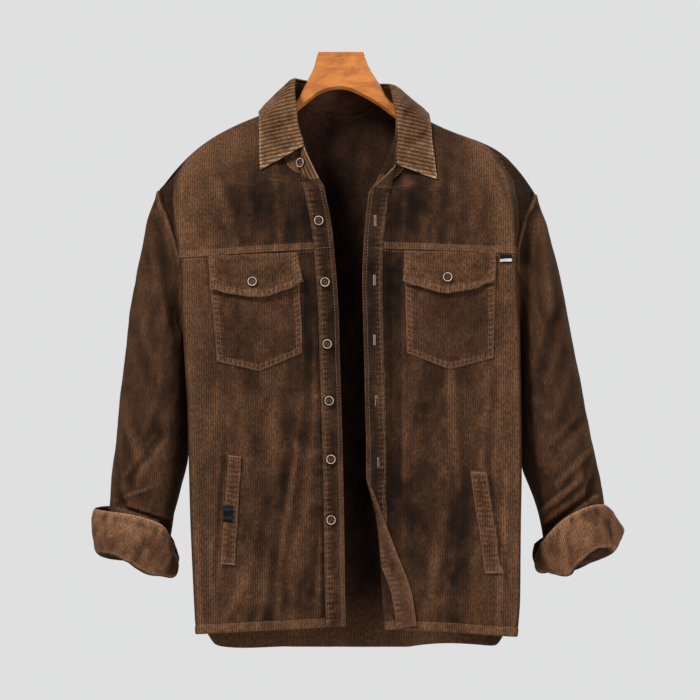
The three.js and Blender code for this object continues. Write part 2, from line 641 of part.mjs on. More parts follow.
// Sleeves start on the armhole: up the front edge to the shoulder point and down the back edge.
function armhole(name) {
  const front = [...sheets["front_" + name].grid, ...sheets["front_yoke_" + name].grid.slice(1)].map(lastOf);
  const backEdge = sheets.back.grid.map((row) => (name === "right" ? row[0] : lastOf(row)));
  const underarm = SIDES[name].rows[SIDES[name].names.underarm].zo;
  const above = (points) => points.filter((p) => p[2] > underarm - 1);
  const down = above(front).reverse();
  const up = above(backEdge);
  return [...down, ...up.slice(1, -1)];
}
function ringPoints(r, angles) {
  const outer = [r.xo, 0, r.zo];
  const inner = [r.xi, 0, r.zi];
  const centre = mix(outer, inner, 0.5);
  const arm = sub(outer, centre);
  return angles.map((a) => add(add(centre, arm, Math.cos(a)), [0, -r.half, 0], Math.sin(a)));
}
function sleeveGrid(name, rings) {
  const loop = armhole(name);
  const underIndex = loop.reduce((best, p, i) => (p[2] < loop[best][2] ? i : best), 0);
  const reach = [0];
  for (let i = 1; i <= loop.length; i += 1) {
    reach.push(reach[i - 1] + size(sub(loop[i % loop.length], loop[i - 1])));
  }
  const half = reach[underIndex];
  const total = reach[loop.length];
  const angles = loop.map((_, i) =>
    i <= underIndex
      ? (Math.PI * reach[i]) / half
      : Math.PI * (1 + (reach[i] - half) / (total - half)),
  );
  const base = ringPoints(rings[0], angles);
  const offsets = loop.map((p, i) => sub(p, base[i]));
  const count = rings.length - 1;
  return span(0, count, count).map((v) => {
    const keep = 1 - smooth((v - 0.7) / SLEEVE_BLEND);
    return ringPoints(between(rings, v), angles).map((p, i) => add(p, offsets[i], keep));
  });
}
sheets.sleeve_right = sheet(sleeveGrid("right", SLEEVE_RIGHT), { wrap: true, flip: true });
sheets.sleeve_left = sheet(sleeveGrid("left", SLEEVE_LEFT), { wrap: true, flip: false });

// Cuffs: from the sleeve's end down round the lower edge and up the outside.
const CUFF_COLUMNS = 18;
const CUFF_JOIN = 0.5; // the cuff starts this far below the sleeve's end
const CUFF_FOLD = 3; // straight run inside, and half width of the lower fold
function cuffGrid(name, stations) {
  const ring = lastOf(sheets["sleeve_" + name].grid);
  const centre = ring.reduce((sum, p) => add(sum, p, 1 / ring.length), [0, 0, 0]);
  const inner = (bottom) => {
    const nearest = ring.map((p, i) => {
      const q = ring[(i + 1) % ring.length];
      const d = sub(q, p);
      const t = Math.min(1, Math.max(0, ((bottom[0] - p[0]) * d[0] + (bottom[1] - p[1]) * d[1]) / (d[0] ** 2 + d[1] ** 2)));
      return mix(p, q, t);
    });
    return nearest.reduce((a, b) => {
      const far = (c) => Math.hypot(c[0] - bottom[0], c[1] - bottom[1]);
      return far(b) < far(a) ? b : a;
    });
  };
  const columns = span(0, stations.length - 1, CUFF_COLUMNS).map((v) => {
    const c = between(stations, v);
    const bottom = [c.xb, c.yb, c.zb];
    const top = [c.xt, c.yt, c.zt];
    const start = inner(bottom);
    const out = unit([bottom[0] - centre[0], bottom[1] - centre[1], 0]);
    const low = add(bottom, out, -CUFF_FOLD);
    const joined = add(start, [0, 0, 1], -CUFF_JOIN);
    const below = add(start, [0, 0, 1], -CUFF_JOIN - CUFF_FOLD);
    const outside = CUFF_RISE.map((row) => add(mix(bottom, top, row.share), out, row.swell));
    return [joined, below, low, ...outside];
  });
  return columns[0].map((_, i) => columns.map((column) => column[i]));
}
sheets.cuff_right = sheet(cuffGrid("right", CUFF_RIGHT), { flip: true });
sheets.cuff_left = sheet(cuffGrid("left", CUFF_LEFT), { flip: false });

// The neckline seam, from the right front end round the back to the left front end.
function firstsAbove(name) {
  const { rows, names } = SIDES[name];
  const below = levels(rows, names.yoke, rows.length - 1, ROW_STEP).filter((v) => v < names.neck).length;
  return sheets["front_yoke_" + name].grid.slice(below).map((row) => row[0]);
}
const backTop = lastOf(sheets.back.grid);
const middle = (backTop.length - 1) / 2;
const neckline = [
  ...lastOf(sheets.placket_right.grid).slice(0, -1),
  ...firstsAbove("right").slice(0, -1),
  ...backTop.slice(middle - BACK_K, middle + BACK_K + 1),
  ...firstsAbove("left").slice(0, -1).reverse(),
  ...lastOf(sheets.placket_left.grid).slice(0, -1).reverse(),
];
const neckReach = [0];
for (let i = 1; i < neckline.length; i += 1) {
  neckReach.push(neckReach[i - 1] + size(sub(neckline[i], neckline[i - 1])));
}
const collarAt = neckReach.map((d) => between(COLLAR, (d / lastOf(neckReach)) * (COLLAR.length - 1)));
sheets.collar_stand = sheet(
  [0, 0.35, 0.7, 1].map((t) => neckline.map((p, j) => mix(p, [collarAt[j].xf, collarAt[j].yf, collarAt[j].zf], t))),
  { flip: true },
);

// Frontmost y of some sheets at a place seen from the front.
const FRONTS = Object.keys(sheets).filter((name) => /^(front|placket)/.test(name));
function frontY(x, z, names = FRONTS) {
  let best = null;
  for (const name of names) {
    const g = sheets[name].grid;
    for (let i = 0; i < g.length - 1; i += 1) {
      for (let j = 0; j < g[0].length - 1; j += 1) {
        for (const [a, b, c] of [
          [g[i][j], g[i][j + 1], g[i + 1][j + 1]],
          [g[i][j], g[i + 1][j + 1], g[i + 1][j]],
        ]) {
          const det = (b[0] - a[0]) * (c[2] - a[2]) - (c[0] - a[0]) * (b[2] - a[2]);
          if (Math.abs(det) < 1e-6) continue;
          const p = ((x - a[0]) * (c[2] - a[2]) - (c[0] - a[0]) * (z - a[2])) / det;
          const q = ((b[0] - a[0]) * (z - a[2]) - (x - a[0]) * (b[2] - a[2])) / det;
          if (p < -1e-6 || q < -1e-6 || p + q > 1 + 1e-6) continue;
          const y = a[1] + p * (b[1] - a[1]) + q * (c[1] - a[1]);
          if (best === null || y < best) best = y;
        }
      }
    }
  }
  return best;
}
const standTop = lastOf(sheets.collar_stand.normals);
sheets.collar = sheet(
  LEAF.map(({ share, off }) =>
    collarAt.map((c, j) => {
      const top = [c.xf, c.yf, c.zf];
      const fold = add(top, unit(sub(top, neckline[j])), LEAF_START);
      const p = add(mix(fold, [c.xe, c.ye, c.ze], share), standTop[j], off);
      const under = p[1] < 0 ? frontY(p[0], p[2] - LEAF_DROP) : null;
      if (under !== null) p[1] = Math.min(p[1], under - LEAF_CLEAR * smooth(share * 3));
      return p;
    }),
  ),
  { flip: false },
);

shareNormals(Object.entries(sheets).filter(([name]) => !/^(collar|cuff)/.test(name)).map(([, s]) => s));

const HALF = CLOTH / 2;
// How many times SEAM each edge is pulled in: bottom, top, first and last column.
const TRIMS = {
  back: [0, 2.4, 2, 2],
  front_right: [0, 1, 1, 1.4],
  front_left: [0, 1, 1.5, 1.4],
  front_yoke_right: [1, 1, 1.4, 1.4],
  front_yoke_left: [1, 1, 1.4, 1.4],
  placket_right: [0, 1, 0, 1],
  placket_left: [0, 1, 0, 3.4],
  sleeve_right: [2.8, 0, 0, 0],
  sleeve_left: [2.2, 0, 0, 0],
  cuff_right: [0, 0, 0, 0],
  cuff_left: [0, 0, 0, 0],
  collar_stand: [3, 0, 0, 0],
  collar: [0, 0, 0, 0],
};
for (const [name, s] of Object.entries(sheets)) {
  const rise = name.startsWith("placket") ? PLACKET_RISE : 0;
  const solid = solidFrom(wallTriangles(trimmed(s, TRIMS[name]), -HALF, HALF + rise));
  place(name, solid, name.startsWith("cuff") ? cuffCorduroy : corduroy);
}

// Pieces that lie on a front: the panel's own points moved out, cut to an outline.
function laidOn(sheetName, outline, inner, outer) {
  const layer = solidFrom(wallTriangles(sheets[sheetName], HALF + inner, HALF + outer));
  const section = new wasm.CrossSection([outline.map(([x, z]) => [x, z])], "NonZero");
  const prism = section.extrude(120).rotate([90, 0, 0]);
  return layer.intersect(prism);
}
const pocketTop = SEAT + TRIM;
place("chest_pocket_right", laidOn("front_right", POCKET_RIGHT, SEAT, pocketTop), corduroy);
place("chest_pocket_left", laidOn("front_left", POCKET_LEFT, SEAT, pocketTop), corduroy);
place("pocket_flap_right", laidOn("front_right", FLAP_RIGHT, pocketTop + SEAT, pocketTop + SEAT + TRIM), corduroy);
place("pocket_flap_left", laidOn("front_left", FLAP_LEFT, pocketTop + SEAT, pocketTop + SEAT + TRIM), corduroy);
place("welt_right", laidOn("front_right", WELT_RIGHT, SEAT, SEAT + TRIM), corduroy);
place("welt_left", laidOn("front_left", WELT_LEFT, SEAT, SEAT + TRIM), corduroy);
place("label_pocket", laidOn("front_right", LABEL_POCKET, SEAT + TRIM + SEAT, SEAT + TRIM + SEAT + 0.8), tape);
place("label_yoke", laidOn("front_left", LABEL_YOKE, SEAT, SEAT + 0.8), tape);

// Buttons: a rimmed disc turned to the local slope of the cloth.
function button(name, x, z, lift, yAt = frontY) {
  const y = yAt(x, z);
  const e = 5;
  const slopeX = (yAt(x + e, z) - yAt(x - e, z)) / (2 * e);
  const slopeZ = (yAt(x, z + e) - yAt(x, z - e)) / (2 * e);
  const n = unit([slopeX, -1, slopeZ]);
  const r = BUTTON_RADIUS;
  const profile = [
    [0, 0],
    [r * 0.85, 0],
    [r, BUTTON_THICK * 0.35],
    [r, BUTTON_THICK * 0.75],
    [r * 0.88, BUTTON_THICK],
    [r * 0.66, BUTTON_THICK * 0.8],
    [0, BUTTON_THICK * 0.8],
  ];
  const turned = new wasm.CrossSection([profile]).revolve(20);
  const q = new THREE.Quaternion().setFromUnitVectors(new THREE.Vector3(0, 0, 1), new THREE.Vector3(...n));
  const base = add([x, y, z], n, lift);
  const m = new THREE.Matrix4().compose(new THREE.Vector3(...base), q, new THREE.Vector3(1, 1, 1));
  place(name, turned.transform(Array.from(m.elements)), horn);
}
const ON_PLACKET = HALF + PLACKET_RISE + SEAT + 0.2;
BUTTONS.slice(1).forEach((b, i) => button("button_" + (i + 2), b.x, b.z, ON_PLACKET));
button("button_1", BUTTONS[0].x, BUTTONS[0].z, HALF + SEAT + 1, (x, z) => frontY(x, z, ["collar_stand"]));
const ON_FLAP = HALF + pocketTop + SEAT + TRIM + SEAT + 0.2;
button("flap_button_right", FLAP_BUTTON_RIGHT.x, FLAP_BUTTON_RIGHT.z, ON_FLAP);
button("flap_button_left", FLAP_BUTTON_LEFT.x, FLAP_BUTTON_LEFT.z, ON_FLAP);

// Hanger: sections from tip to tip. Along the arms the top follows the shoulder seam under the cloth.
function armStations(name, tip) {
  const ridge = lastOf(sheets["front_yoke_" + name].grid);
  const side = SIDES[name].side;
  const out = [];
  for (let i = 1; i < ridge.length; i += 1) {
    const [x, , z] = ridge[i];
    const before = ridge[i - 1];
    const slope = Math.abs((z - before[2]) / (x - before[0] || 1));
    if (side * x < HANGER_ARM_START || side * x > side * tip) continue;
    const top = z - (HALF + SEAT + HANGER_SLACK) * Math.hypot(1, slope);
    out.push({ x, top, bottom: top - HANGER_ARM_HEIGHT });
  }
  return out;
}
const stations = [
  ...armStations("right", HANGER_TIP_RIGHT).reverse(),
  ...HANGER_BLOCK,
  ...armStations("left", HANGER_TIP_LEFT),
];
const hangerRows = stations.map(({ x, top, bottom }, i) => {
  const end = i === 0 || i === stations.length - 1;
  const d = end ? HANGER_HALF_DEPTH * 0.6 : HANGER_HALF_DEPTH;
  const e = HANGER_EDGE;
  const t = end ? top - 4 : top;
  const b = end ? bottom + 4 : bottom;
  return [
    [x, -d + e, t],
    [x, d - e, t],
    [x, d, t - e],
    [x, d, b + e],
    [x, d - e, b],
    [x, -d + e, b],
    [x, -d, b + e],
    [x, -d, t - e],
  ];
});
function loft(rings) {
  const n = rings[0].length;
  const faces = [];
  for (let i = 0; i < rings.length - 1; i += 1) {
    for (let j = 0; j < n; j += 1) {
      const a = i * n + j;
      const b = i * n + ((j + 1) % n);
      faces.push([a, b + n, b], [a, a + n, b + n]);
    }
  }
  for (let j = 1; j < n - 1; j += 1) {
    faces.push([0, j, j + 1]);
    const o = (rings.length - 1) * n;
    faces.push([o, o + j + 1, o + j]);
  }
  return { points: rings.flat(), faces };
}
place("hanger", solidFrom(loft(hangerRows)), wood);

export default root;
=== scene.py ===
"""A brown corduroy jacket hanging open on a plain wooden hanger: a Blender add-on, run as a script."""
import math

import bpy
import numpy as np
from mathutils import Matrix, Vector


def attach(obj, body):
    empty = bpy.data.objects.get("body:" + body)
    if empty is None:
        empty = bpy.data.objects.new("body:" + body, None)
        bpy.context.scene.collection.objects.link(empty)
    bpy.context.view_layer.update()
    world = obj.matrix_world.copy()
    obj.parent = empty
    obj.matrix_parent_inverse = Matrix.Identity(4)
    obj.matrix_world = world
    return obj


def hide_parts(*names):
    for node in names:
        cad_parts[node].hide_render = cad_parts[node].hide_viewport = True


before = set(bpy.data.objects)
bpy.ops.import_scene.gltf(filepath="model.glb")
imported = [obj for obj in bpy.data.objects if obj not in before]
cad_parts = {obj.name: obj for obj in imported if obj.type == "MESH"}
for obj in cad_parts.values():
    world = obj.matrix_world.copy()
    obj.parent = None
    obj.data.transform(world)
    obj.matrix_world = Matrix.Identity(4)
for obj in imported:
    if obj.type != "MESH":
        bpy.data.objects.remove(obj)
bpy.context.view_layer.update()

bl_info = {
    "name": "Corduroy jacket on a hanger",
    "version": (1, 0, 0),
    "blender": (4, 5, 0),
    "location": "View3D > Sidebar > Jacket",
    "description": "Builds a hanging corduroy jacket with its sewing, buttons and wooden hanger",
    "category": "Add Mesh",
}

MM = 0.001


# Tables, in millimetres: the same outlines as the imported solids

def table(columns, rows):
    """Names and numbers of a table whose columns are named in one string."""
    return columns.split(" "), np.array(rows, float)


# Rows of a front from the hem up: i is the free edge, c the corner of the fold beside the sleeve with its
# radius, o the side; arch and bow curve the row; turn and roll are what is turned back and how tightly
FRONT = "zi zo arch xi yi xc yc rc bow xo yo turn roll"
FRONT_RIGHT = table(FRONT, [
    [-742.5, -756, 0, 6.5, -70, -187, -74, 14, 5, -173, -4, 0, 0],
    [-690, -700, 0, 5.2, -71, -190, -75, 14, 5, -175, -4, 0, 0],
    [-600, -608, 0, 4, -72, -194, -76, 14, 5, -179, -4, 0, 0],
    [-510, -510, 0, 2, -72, -196.3, -77, 14, 6, -183, -4, 0, 0],
    [-455, -458, 0, 0.5, -72, -197.5, -78, 14, 7, -186, -3, 0, 0],
    [-395, -407, 0, -1.5, -71, -200.5, -78, 14, 8, -192.4, -2, 0, 0],
    [-345, -365, 0, -2.6, -70, -202.8, -78, 14, 9, -198, -28, 0, 0],
    [-300, -318, 0, -5.2, -69, -204.8, -78, 14, 10, -203, -42, 0, 0],
    [-257, -272, 0, -9, -68, -205.5, -77, 14, 10, -207, -46, 0, 0],
    [-228, -246, 0, -12, -68, -211.5, -76, 14, 10, -213, -43, 0, 0],
    [-198, -224, 0, -17.5, -69, -216, -74, 14, 9, -220, -36, 0, 0],
    [-168, -207, 2, -27.5, -70, -219, -70, 16, 8, -227, -27, 0, 0],
    [-158, -197, 4, -61, -68, -219.5, -64, 20, 7, -231, -19, 0, 0],
    [-141, -190, 7, -72.5, -59, -218, -53, 24, 6, -233, -13.5, 0, 0],
    [-114, -185, 11, -79.5, -42, -214, -38, 28, 4, -234.2, -9, 0, 0],
    [-86, -181.5, 15, -77, -22, -208, -20, 30, 1, -234.8, -5, 0, 0],
    [-68.2, -179.7, 18.2, -69, -9, -205, -9, 30, 0, -235.2, -2, 0, 0],
    [-66.3, -179.4, 18.5, -67.6, 0, -205, 0, 30, 0, -235.3, 0, 0, 0],
])
FRONT_LEFT = table(FRONT, [
    [-747, -751, -6, 57.2, -68, 227, -74, 14, 4, 213, -4, 36, 4],
    [-700, -706, -3, 53.8, -69, 231, -75, 14, 4, 215, -4, 32, 4],
    [-650, -656, 0, 51, -70, 231.4, -76, 14, 4, 216.5, -4, 17, 3.6],
    [-605, -611, 0, 46, -71, 231.8, -76, 14, 5, 217.7, -4, 6.5, 2.8],
    [-575, -580, 0, 39.2, -71, 232.3, -76.5, 14, 5, 218.6, -4, 2.6, 2.2],
    [-545, -550, 0, 32.5, -72, 232.7, -77, 14, 6, 219.4, -4, 0, 0],
    [-510, -512, 0, 32.5, -72, 232.7, -77, 14, 6, 220, -4, 0, 0],
    [-458, -460, 0, 31.2, -72, 232, -78, 14, 7, 221, -3, 0, 0],
    [-398, -413, 0, 30, -71, 231, -78, 14, 8, 222.3, -2, 0, 0],
    [-345, -368, 0, 28.6, -70, 230, -78, 14, 9, 226, -28, 0, 0],
    [-300, -318, 0, 27.5, -69, 227, -78, 14, 10, 226.5, -41, 0, 0],
    [-257, -266, 0, 29, -68, 224.5, -77, 14, 10, 226.5, -43, 0, 0],
    [-228, -240, 0, 31, -68, 222.5, -76, 14, 10, 230, -39, 0, 0],
    [-203, -220, 0, 33.8, -69, 219.5, -74, 14, 9, 236.5, -32, 0, 0],
    [-179, -206, 2, 39, -70, 215, -70, 16, 8, 242, -24, 0, 0],
    [-168, -197, 4, 67, -68, 212, -64, 20, 7, 245.5, -18, 0, 0],
    [-151, -191.5, 7, 83, -59, 207, -53, 24, 6, 248, -13, 0, 0],
    [-121, -187.5, 12, 91, -42, 200, -38, 28, 4, 249.5, -8.5, 0, 0],
    [-89, -185.2, 18, 87, -22, 195, -20, 30, 1, 250.4, -5, 0, 0],
    [-70, -184.4, 22.6, 78, -9, 195, -9, 30, 0, 250.9, -2, 0, 0],
    [-68, -184, 23, 76, 0, 195, 0, 30, 0, 250.9, 0, 0, 0],
])
# Rows of half the back: i is its middle, k the side of the neck, c the corner of the fold and o the side
BACK = "zi zk zo arch xi yi xk yk xc yc rc xo yo"
BACK_RIGHT = table(BACK, [
    [-777, -777, -756, -12, 12, 60, -64, 59, -160, 58, 24, -173, -4],
    [-700, -700, -700, 0, 12, 60, -64, 59, -163, 59, 24, -175, -4],
    [-606, -607, -608, 0, 11, 60, -65, 59, -168, 59, 24, -179, -4],
    [-510, -510, -510, 0, 10, 60, -65, 59, -173, 58, 24, -183, -4],
    [-456, -457, -458, 0, 10, 60, -66, 59, -177, 58, 24, -186, -3],
    [-405, -406, -407, 0, 9, 60, -66, 59, -181, 57, 24, -192.4, -2],
    [-350, -352, -362, 0, 8, 60, -67, 59, -189, 56, 24, -199, 26],
    [-296, -299, -316, 0, 7, 60, -67, 58, -196, 55, 22, -206, 38],
    [-240, -240, -270, 0, 6, 60, -68, 58, -201, 54, 22, -213, 38],
    [-190, -187, -228, 3, 5, 59, -68, 56, -203, 50, 22, -221, 32],
    [-152, -146, -202, 7, 4, 57, -68, 51, -204, 44, 24, -229, 23],
    [-122, -112, -188, 11, 4, 54, -68, 40, -205, 32, 26, -232.5, 13],
    [-100, -84, -182, 15, 4, 49, -68, 24, -206, 19, 28, -234.5, 6],
    [-85, -68.2, -179.7, 18.2, 4, 43, -67.8, 9, -205, 9, 30, -235.2, 2],
    [-82, -66.3, -179.4, 18.5, 4, 41, -67.6, 0, -205, 0, 30, -235.3, 0],
])
BACK_LEFT = table(BACK, [
    [-777, -777, -751, -16, 12, 60, 88, 59, 195, 58, 24, 213, -4],
    [-700, -700, -706, 0, 12, 60, 88, 59, 198, 59, 24, 215, -4],
    [-606, -607, -611, 0, 11, 60, 87, 59, 200, 59, 24, 217.7, -4],
    [-510, -510, -512, 0, 10, 60, 85, 59, 203, 58, 24, 220, -4],
    [-456, -457, -460, 0, 10, 60, 84, 59, 205, 58, 24, 221, -3],
    [-405, -407, -413, 0, 9, 60, 83, 59, 207, 57, 24, 222.3, -2],
    [-350, -352, -368, 0, 8, 60, 82, 59, 212, 56, 24, 227, 26],
    [-296, -299, -324, 0, 7, 60, 80, 58, 216, 55, 22, 232, 38],
    [-240, -240, -280, 0, 6, 60, 78, 58, 218, 54, 22, 237, 38],
    [-190, -187, -236, 3, 5, 59, 76, 56, 217, 50, 22, 242.5, 32],
    [-152, -146, -208.5, 7, 4, 57, 76, 51, 213, 44, 24, 247, 23],
    [-122, -114, -193.5, 12, 4, 54, 76, 40, 205, 32, 26, 249.4, 13],
    [-100, -86, -186.5, 18, 4, 49, 76, 24, 198, 19, 28, 250.5, 6],
    [-85, -70, -184.4, 22.6, 4, 43, 76, 9, 195, 9, 30, 250.9, 2],
    [-82, -68, -184, 23, 4, 41, 76, 0, 195, 0, 30, 250.9, 0],
])
# Each half of the body: its tables, the side it is on and the rows of its underarm, yoke seam and neck
SIDES = {
    "right": {"rows": FRONT_RIGHT, "back": BACK_RIGHT, "side": -1, "underarm": 5, "yoke": 8, "neck": 11,
              "power": 1.3, "flip": True},
    "left": {"rows": FRONT_LEFT, "back": BACK_LEFT, "side": 1, "underarm": 8, "yoke": 11, "neck": 14,
             "power": 2.3, "flip": False},
}
PLACKET = 26  # width of the front strips
LADDER_PITCH = 6.4  # from one puff to the next between two rows of stitches
LADDER_REACH = 4.2
FOLD_SHARPNESS = 0.55  # the pressed fold beside each sleeve is this share as round as on the solid

# Large soft folds of the fronts: a line from top to bottom, half width and depth (minus is a trough)
FOLDS = table("x0 z0 x1 z1 half depth", [
    [68, -190, 69, -530, 13, -7],
    [-60, -430, -88, -735, 26, -5],
    [-118, -400, -100, -560, 22, -4],
    [118, -430, 100, -640, 24, -4],
    [165, -440, 150, -735, 26, -5],
])
FOLD_FADE = 60  # the large folds die out over this length past their ends
CREASE_FADE = 26  # and the smaller creases over this one
# Smaller creases of the fronts and yokes, which only the fine cloth has
CREASES = table("x0 z0 x1 z1 half depth", [
    [-46, -255, -42, -400, 9, -3.4],
    [-31, -330, -35, -480, 8, 1.4],
    [-40, -430, -56, -600, 12, -4.2],
    [-22, -560, -30, -720, 8, 3],
    [-58, -520, -74, -640, 9, 3.2],
    [-96, -590, -114, -735, 13, -3.8],
    [-76, -610, -82, -735, 10, 3.4],
    [-178, -560, -172, -735, 9, -3.4],
    [-156, -420, -168, -510, 12, 3],
    [-126, -690, -150, -735, 12, 2.8],
    [-168, -150, -136, -250, 14, 2.6],
    [-118, -110, -92, -250, 24, -1.6],
    [-62, -180, -66, -255, 12, -1.8],
    [-84, -150, -80, -250, 10, 2.2],
    [-150, -515, -162, -672, 5, -3.2],
    [66, -178, 70, -560, 15, -4],
    [92, -420, 80, -540, 12, 1.6],
    [86, -575, 104, -700, 16, -2.4],
    [122, -650, 112, -742, 14, 2],
    [146, -590, 128, -690, 13, -2],
    [140, -430, 152, -560, 11, 3],
    [198, -430, 188, -530, 10, -3],
    [212, -560, 202, -740, 8, 3],
    [47, -420, 52, -560, 7, 3],
    [104, -160, 88, -250, 16, -1.4],
    [176, -160, 168, -250, 16, 3],
    [140, -130, 128, -245, 14, -2],
    [190, -538, 213, -676, 5, -3.2],
])
# Rings of a sleeve from the shoulder down: its outer and inner point and half its depth
RING = "xo zo xi zi half"
SLEEVE_RIGHT = table(RING, [
    [-235.3, -179.4, -192.4, -407, 42],
    [-248.3, -210.6, -196.8, -408.2, 44],
    [-256.1, -244.4, -198, -413, 51],
    [-265.2, -289.9, -198, -426.4, 60],
    [-273, -335.4, -198, -447.2, 62],
    [-279.5, -390, -198, -475.8, 62],
    [-286, -445.9, -198.2, -504.4, 60],
    [-291.2, -501.8, -200.2, -534.3, 57],
    [-296.4, -546, -208, -564.2, 54],
    [-299.7, -582.4, -215.8, -595.4, 50],
    [-301.6, -608.4, -221, -625.3, 44],
    [-306.8, -635.7, -224.9, -660.4, 36],
])
SLEEVE_LEFT = table(RING, [
    [250.9, -184, 222.3, -413, 42],
    [262.6, -215.8, 227.3, -414.7, 44],
    [273, -248.3, 228.8, -419.5, 51],
    [283.4, -288.6, 229.2, -432.9, 60],
    [292.5, -335.4, 230.4, -453.7, 62],
    [302.2, -390, 231.4, -482.3, 62],
    [312, -436.8, 232.7, -510.9, 60],
    [321.1, -484.9, 235.3, -539.5, 57],
    [331.5, -533, 245.7, -566.8, 54],
    [339.3, -572, 256.1, -595.4, 50],
    [343.2, -601.9, 262.6, -627.9, 44],
    [345.8, -630.5, 266.5, -660.4, 36],
])
SLEEVE_BLEND = 4  # rows of a sleeve over which it takes up the shape of the armhole
# Places of painted light and shade and of worn pile: with a plus paler, for worn pile and painted highlights
# as on the shoulders, with a minus darker, for painted shade
LIGHT_SHADE_AND_WEAR_PLACES = table("x z wide tall amount", [
    [-150, -112, 62, 42, 0.75],
    [-176, -200, 26, 60, 0.2],
    [-122, -690, 26, 36, 0.45],
    [-60, -640, 18, 60, 0.22],
    [-98, -470, 60, 30, 0.2],
    [150, -480, 40, 50, 0.2],
    [182, -120, 26, 50, 0.45],
    [214, -190, 12, 70, 0.4],
    [64, -215, 22, 110, -1.1],
    [64, -400, 20, 190, -1.1],
    [-38, -320, 9, 110, -0.6],
    [-72, -205, 46, 90, -0.32],
    [-66, -160, 30, 34, -0.25],
    [96, -180, 22, 40, -0.3],
    [94, -600, 18, 60, -0.35],
    [150, -590, 30, 50, -0.25],
    [-176, -560, 16, 90, -0.3],
    [-170, -460, 22, 50, -0.35],
    [60, -700, 14, 40, -0.3],
])
# Fold of the shoulder over the sleeve, seen from the front, from the top down
SHOULDER_FOLDS = {
    "right": table("x z", [[-186, -128], [-200, -142], [-206, -164], [-206.5, -195], [-206, -245]]),
    "left": table("x z", [[164, -112], [193.7, -133.9], [213.2, -166.4], [220, -205.4], [221.5, -245]]),
}
# Creases of the sleeves, seen from the front; the last number is 1 on the front and -1 behind
SLEEVE_CREASES = table("x0 z0 x1 z1 half depth face", [
    [-238, -232, -212, -352, 15, -7, 1],
    [-262, -250, -252, -380, 13, 3, 1],
    [-268, -360, -238, -440, 16, -4, 1],
    [-222, -440, -250, -510, 14, -3, 1],
    [-282, -460, -256, -535, 13, 4, 1],
    [-232, -500, -272, -552, 11, -4.5, 1],
    [-292, -582, -240, -562, 11, 5.5, 1],
    [-284, -590, -226, -608, 12, -10, 1],
    [-294, -500, -288, -580, 9, -3.5, 1],
    [243, -212, 236, -262, 14, -9, 1],
    [262, -226, 268, -330, 13, 4.5, 1],
    [284, -330, 252, -430, 16, -5, 1],
    [296, -410, 272, -470, 15, 3, 1],
    [318, -470, 276, -515, 14, -3.5, 1],
    [322, -515, 282, -556, 12, 3.5, 1],
    [306, -556, 258, -598, 11, 5.5, 1],
    [324, -573, 268, -616, 12, -10, 1],
    [334, -520, 322, -580, 9, -3.5, 1],
    [-255, -260, -225, -380, 18, -5, -1],
    [-276, -420, -236, -500, 16, -4.5, -1],
    [-270, -540, -240, -600, 14, -5.5, -1],
    [262, -260, 250, -380, 18, -5, -1],
    [300, -400, 262, -490, 16, -4.5, -1],
    [322, -540, 282, -600, 14, -5.5, -1],
])
BACK_CREASES = table("x0 z0 x1 z1 half depth", [
    [-120, -330, -104, -640, 34, -5],
    [-40, -420, -56, -740, 30, 4],
    [36, -380, 30, -740, 32, -5],
    [128, -330, 116, -660, 34, 4.5],
    [-150, -150, -176, -300, 24, 3.5],
    [176, -160, 196, -300, 24, 3.5],
    [0, -120, 4, -330, 36, -3.5],
])
# Lines round a cuff from its opening: points of the lower and of the upper edge
CUFF = "xb yb zb xt yt zt"
CUFF_RIGHT = table(CUFF, [
    [-217, -10, -681.5, -214.5, -8, -654],
    [-229, -28, -680, -218.5, -27, -636],
    [-245.7, -38, -677.3, -227.5, -44, -615.6],
    [-263.9, -49, -668, -249.6, -56, -604.5],
    [-288.6, -46, -653, -275.6, -60, -598],
    [-308.1, -27, -650, -299.7, -46, -595.4],
    [-317.2, 0, -652, -319.2, -4, -593.5],
    [-308.1, 27, -659, -309.4, 38, -591.5],
    [-280.8, 42, -663, -276.9, 56, -594.1],
    [-245.7, 36, -674.7, -240.5, 50, -611],
    [-229, 26, -680, -225, 38, -628],
    [-217.5, 8, -679.9, -213, 20, -647.4],
])
CUFF_LEFT = table(CUFF, [
    [256.5, -8, -674.7, 254.5, -7, -652],
    [268, -28, -676, 260, -29, -637],
    [289.9, -38, -679, 269.1, -46, -622.7],
    [308.8, -50, -660, 287.3, -58, -604.5],
    [326.3, -47, -645, 310.7, -61, -591.5],
    [341.9, -32, -642, 332.8, -48, -586.3],
    [351.5, -8, -645, 349.5, -18, -594.1],
    [353.6, 24, -651, 369, 30, -621.4],
    [334.1, 42, -663, 339.3, 54, -608.4],
    [297.7, 36, -676, 300.3, 50, -618.8],
    [273, 26, -677, 275, 42, -626],
    [256.1, 8, -674.7, 252.5, 22, -640],
])
# How far the turned-back cuff swells out, from its lower edge up
CUFF_RISE = table("share swell", [[0.08, 2], [0.3, 4], [0.6, 4], [1, 0]])
CUFF_JOIN, CUFF_FOLD = 0.5, 3  # gap below the sleeve, and depth of the fold at the lower edge
CUFF_LEVELS = 40  # grid points up a cuff
# Points round the collar, from the right front to the left: of the fold line and of the leaf's free edge
COLLAR = table("xf yf zf xe ye ze", [
    [-46.8, -78, -128.7, -104, -60, -156.5],
    [-53, -66, -106, -105, -50, -135],
    [-58, -46, -80, -105.5, -36, -112],
    [-61, -22, -54, -106, -20, -90],
    [-59.8, 2, -38.5, -107, 4, -78.5],
    [-38, 32, -41, -74, 46, -88],
    [2, 47, -43, 4, 62, -92],
    [42, 32, -44, 80, 46, -90],
    [62.4, 2, -45.5, 114, 4, -81],
    [67, -22, -60, 116, -20, -93],
    [71, -44, -84, 118, -36, -118],
    [72, -64, -114, 121, -50, -142],
    [70.2, -78, -151.4, 123.5, -60, -167.7],
])
# Where the leaf starts past the fold, how far it clears the fronts, and how much lower they are felt for
LEAF_START, LEAF_CLEAR, LEAF_DROP = 3.5, 2.6, 4
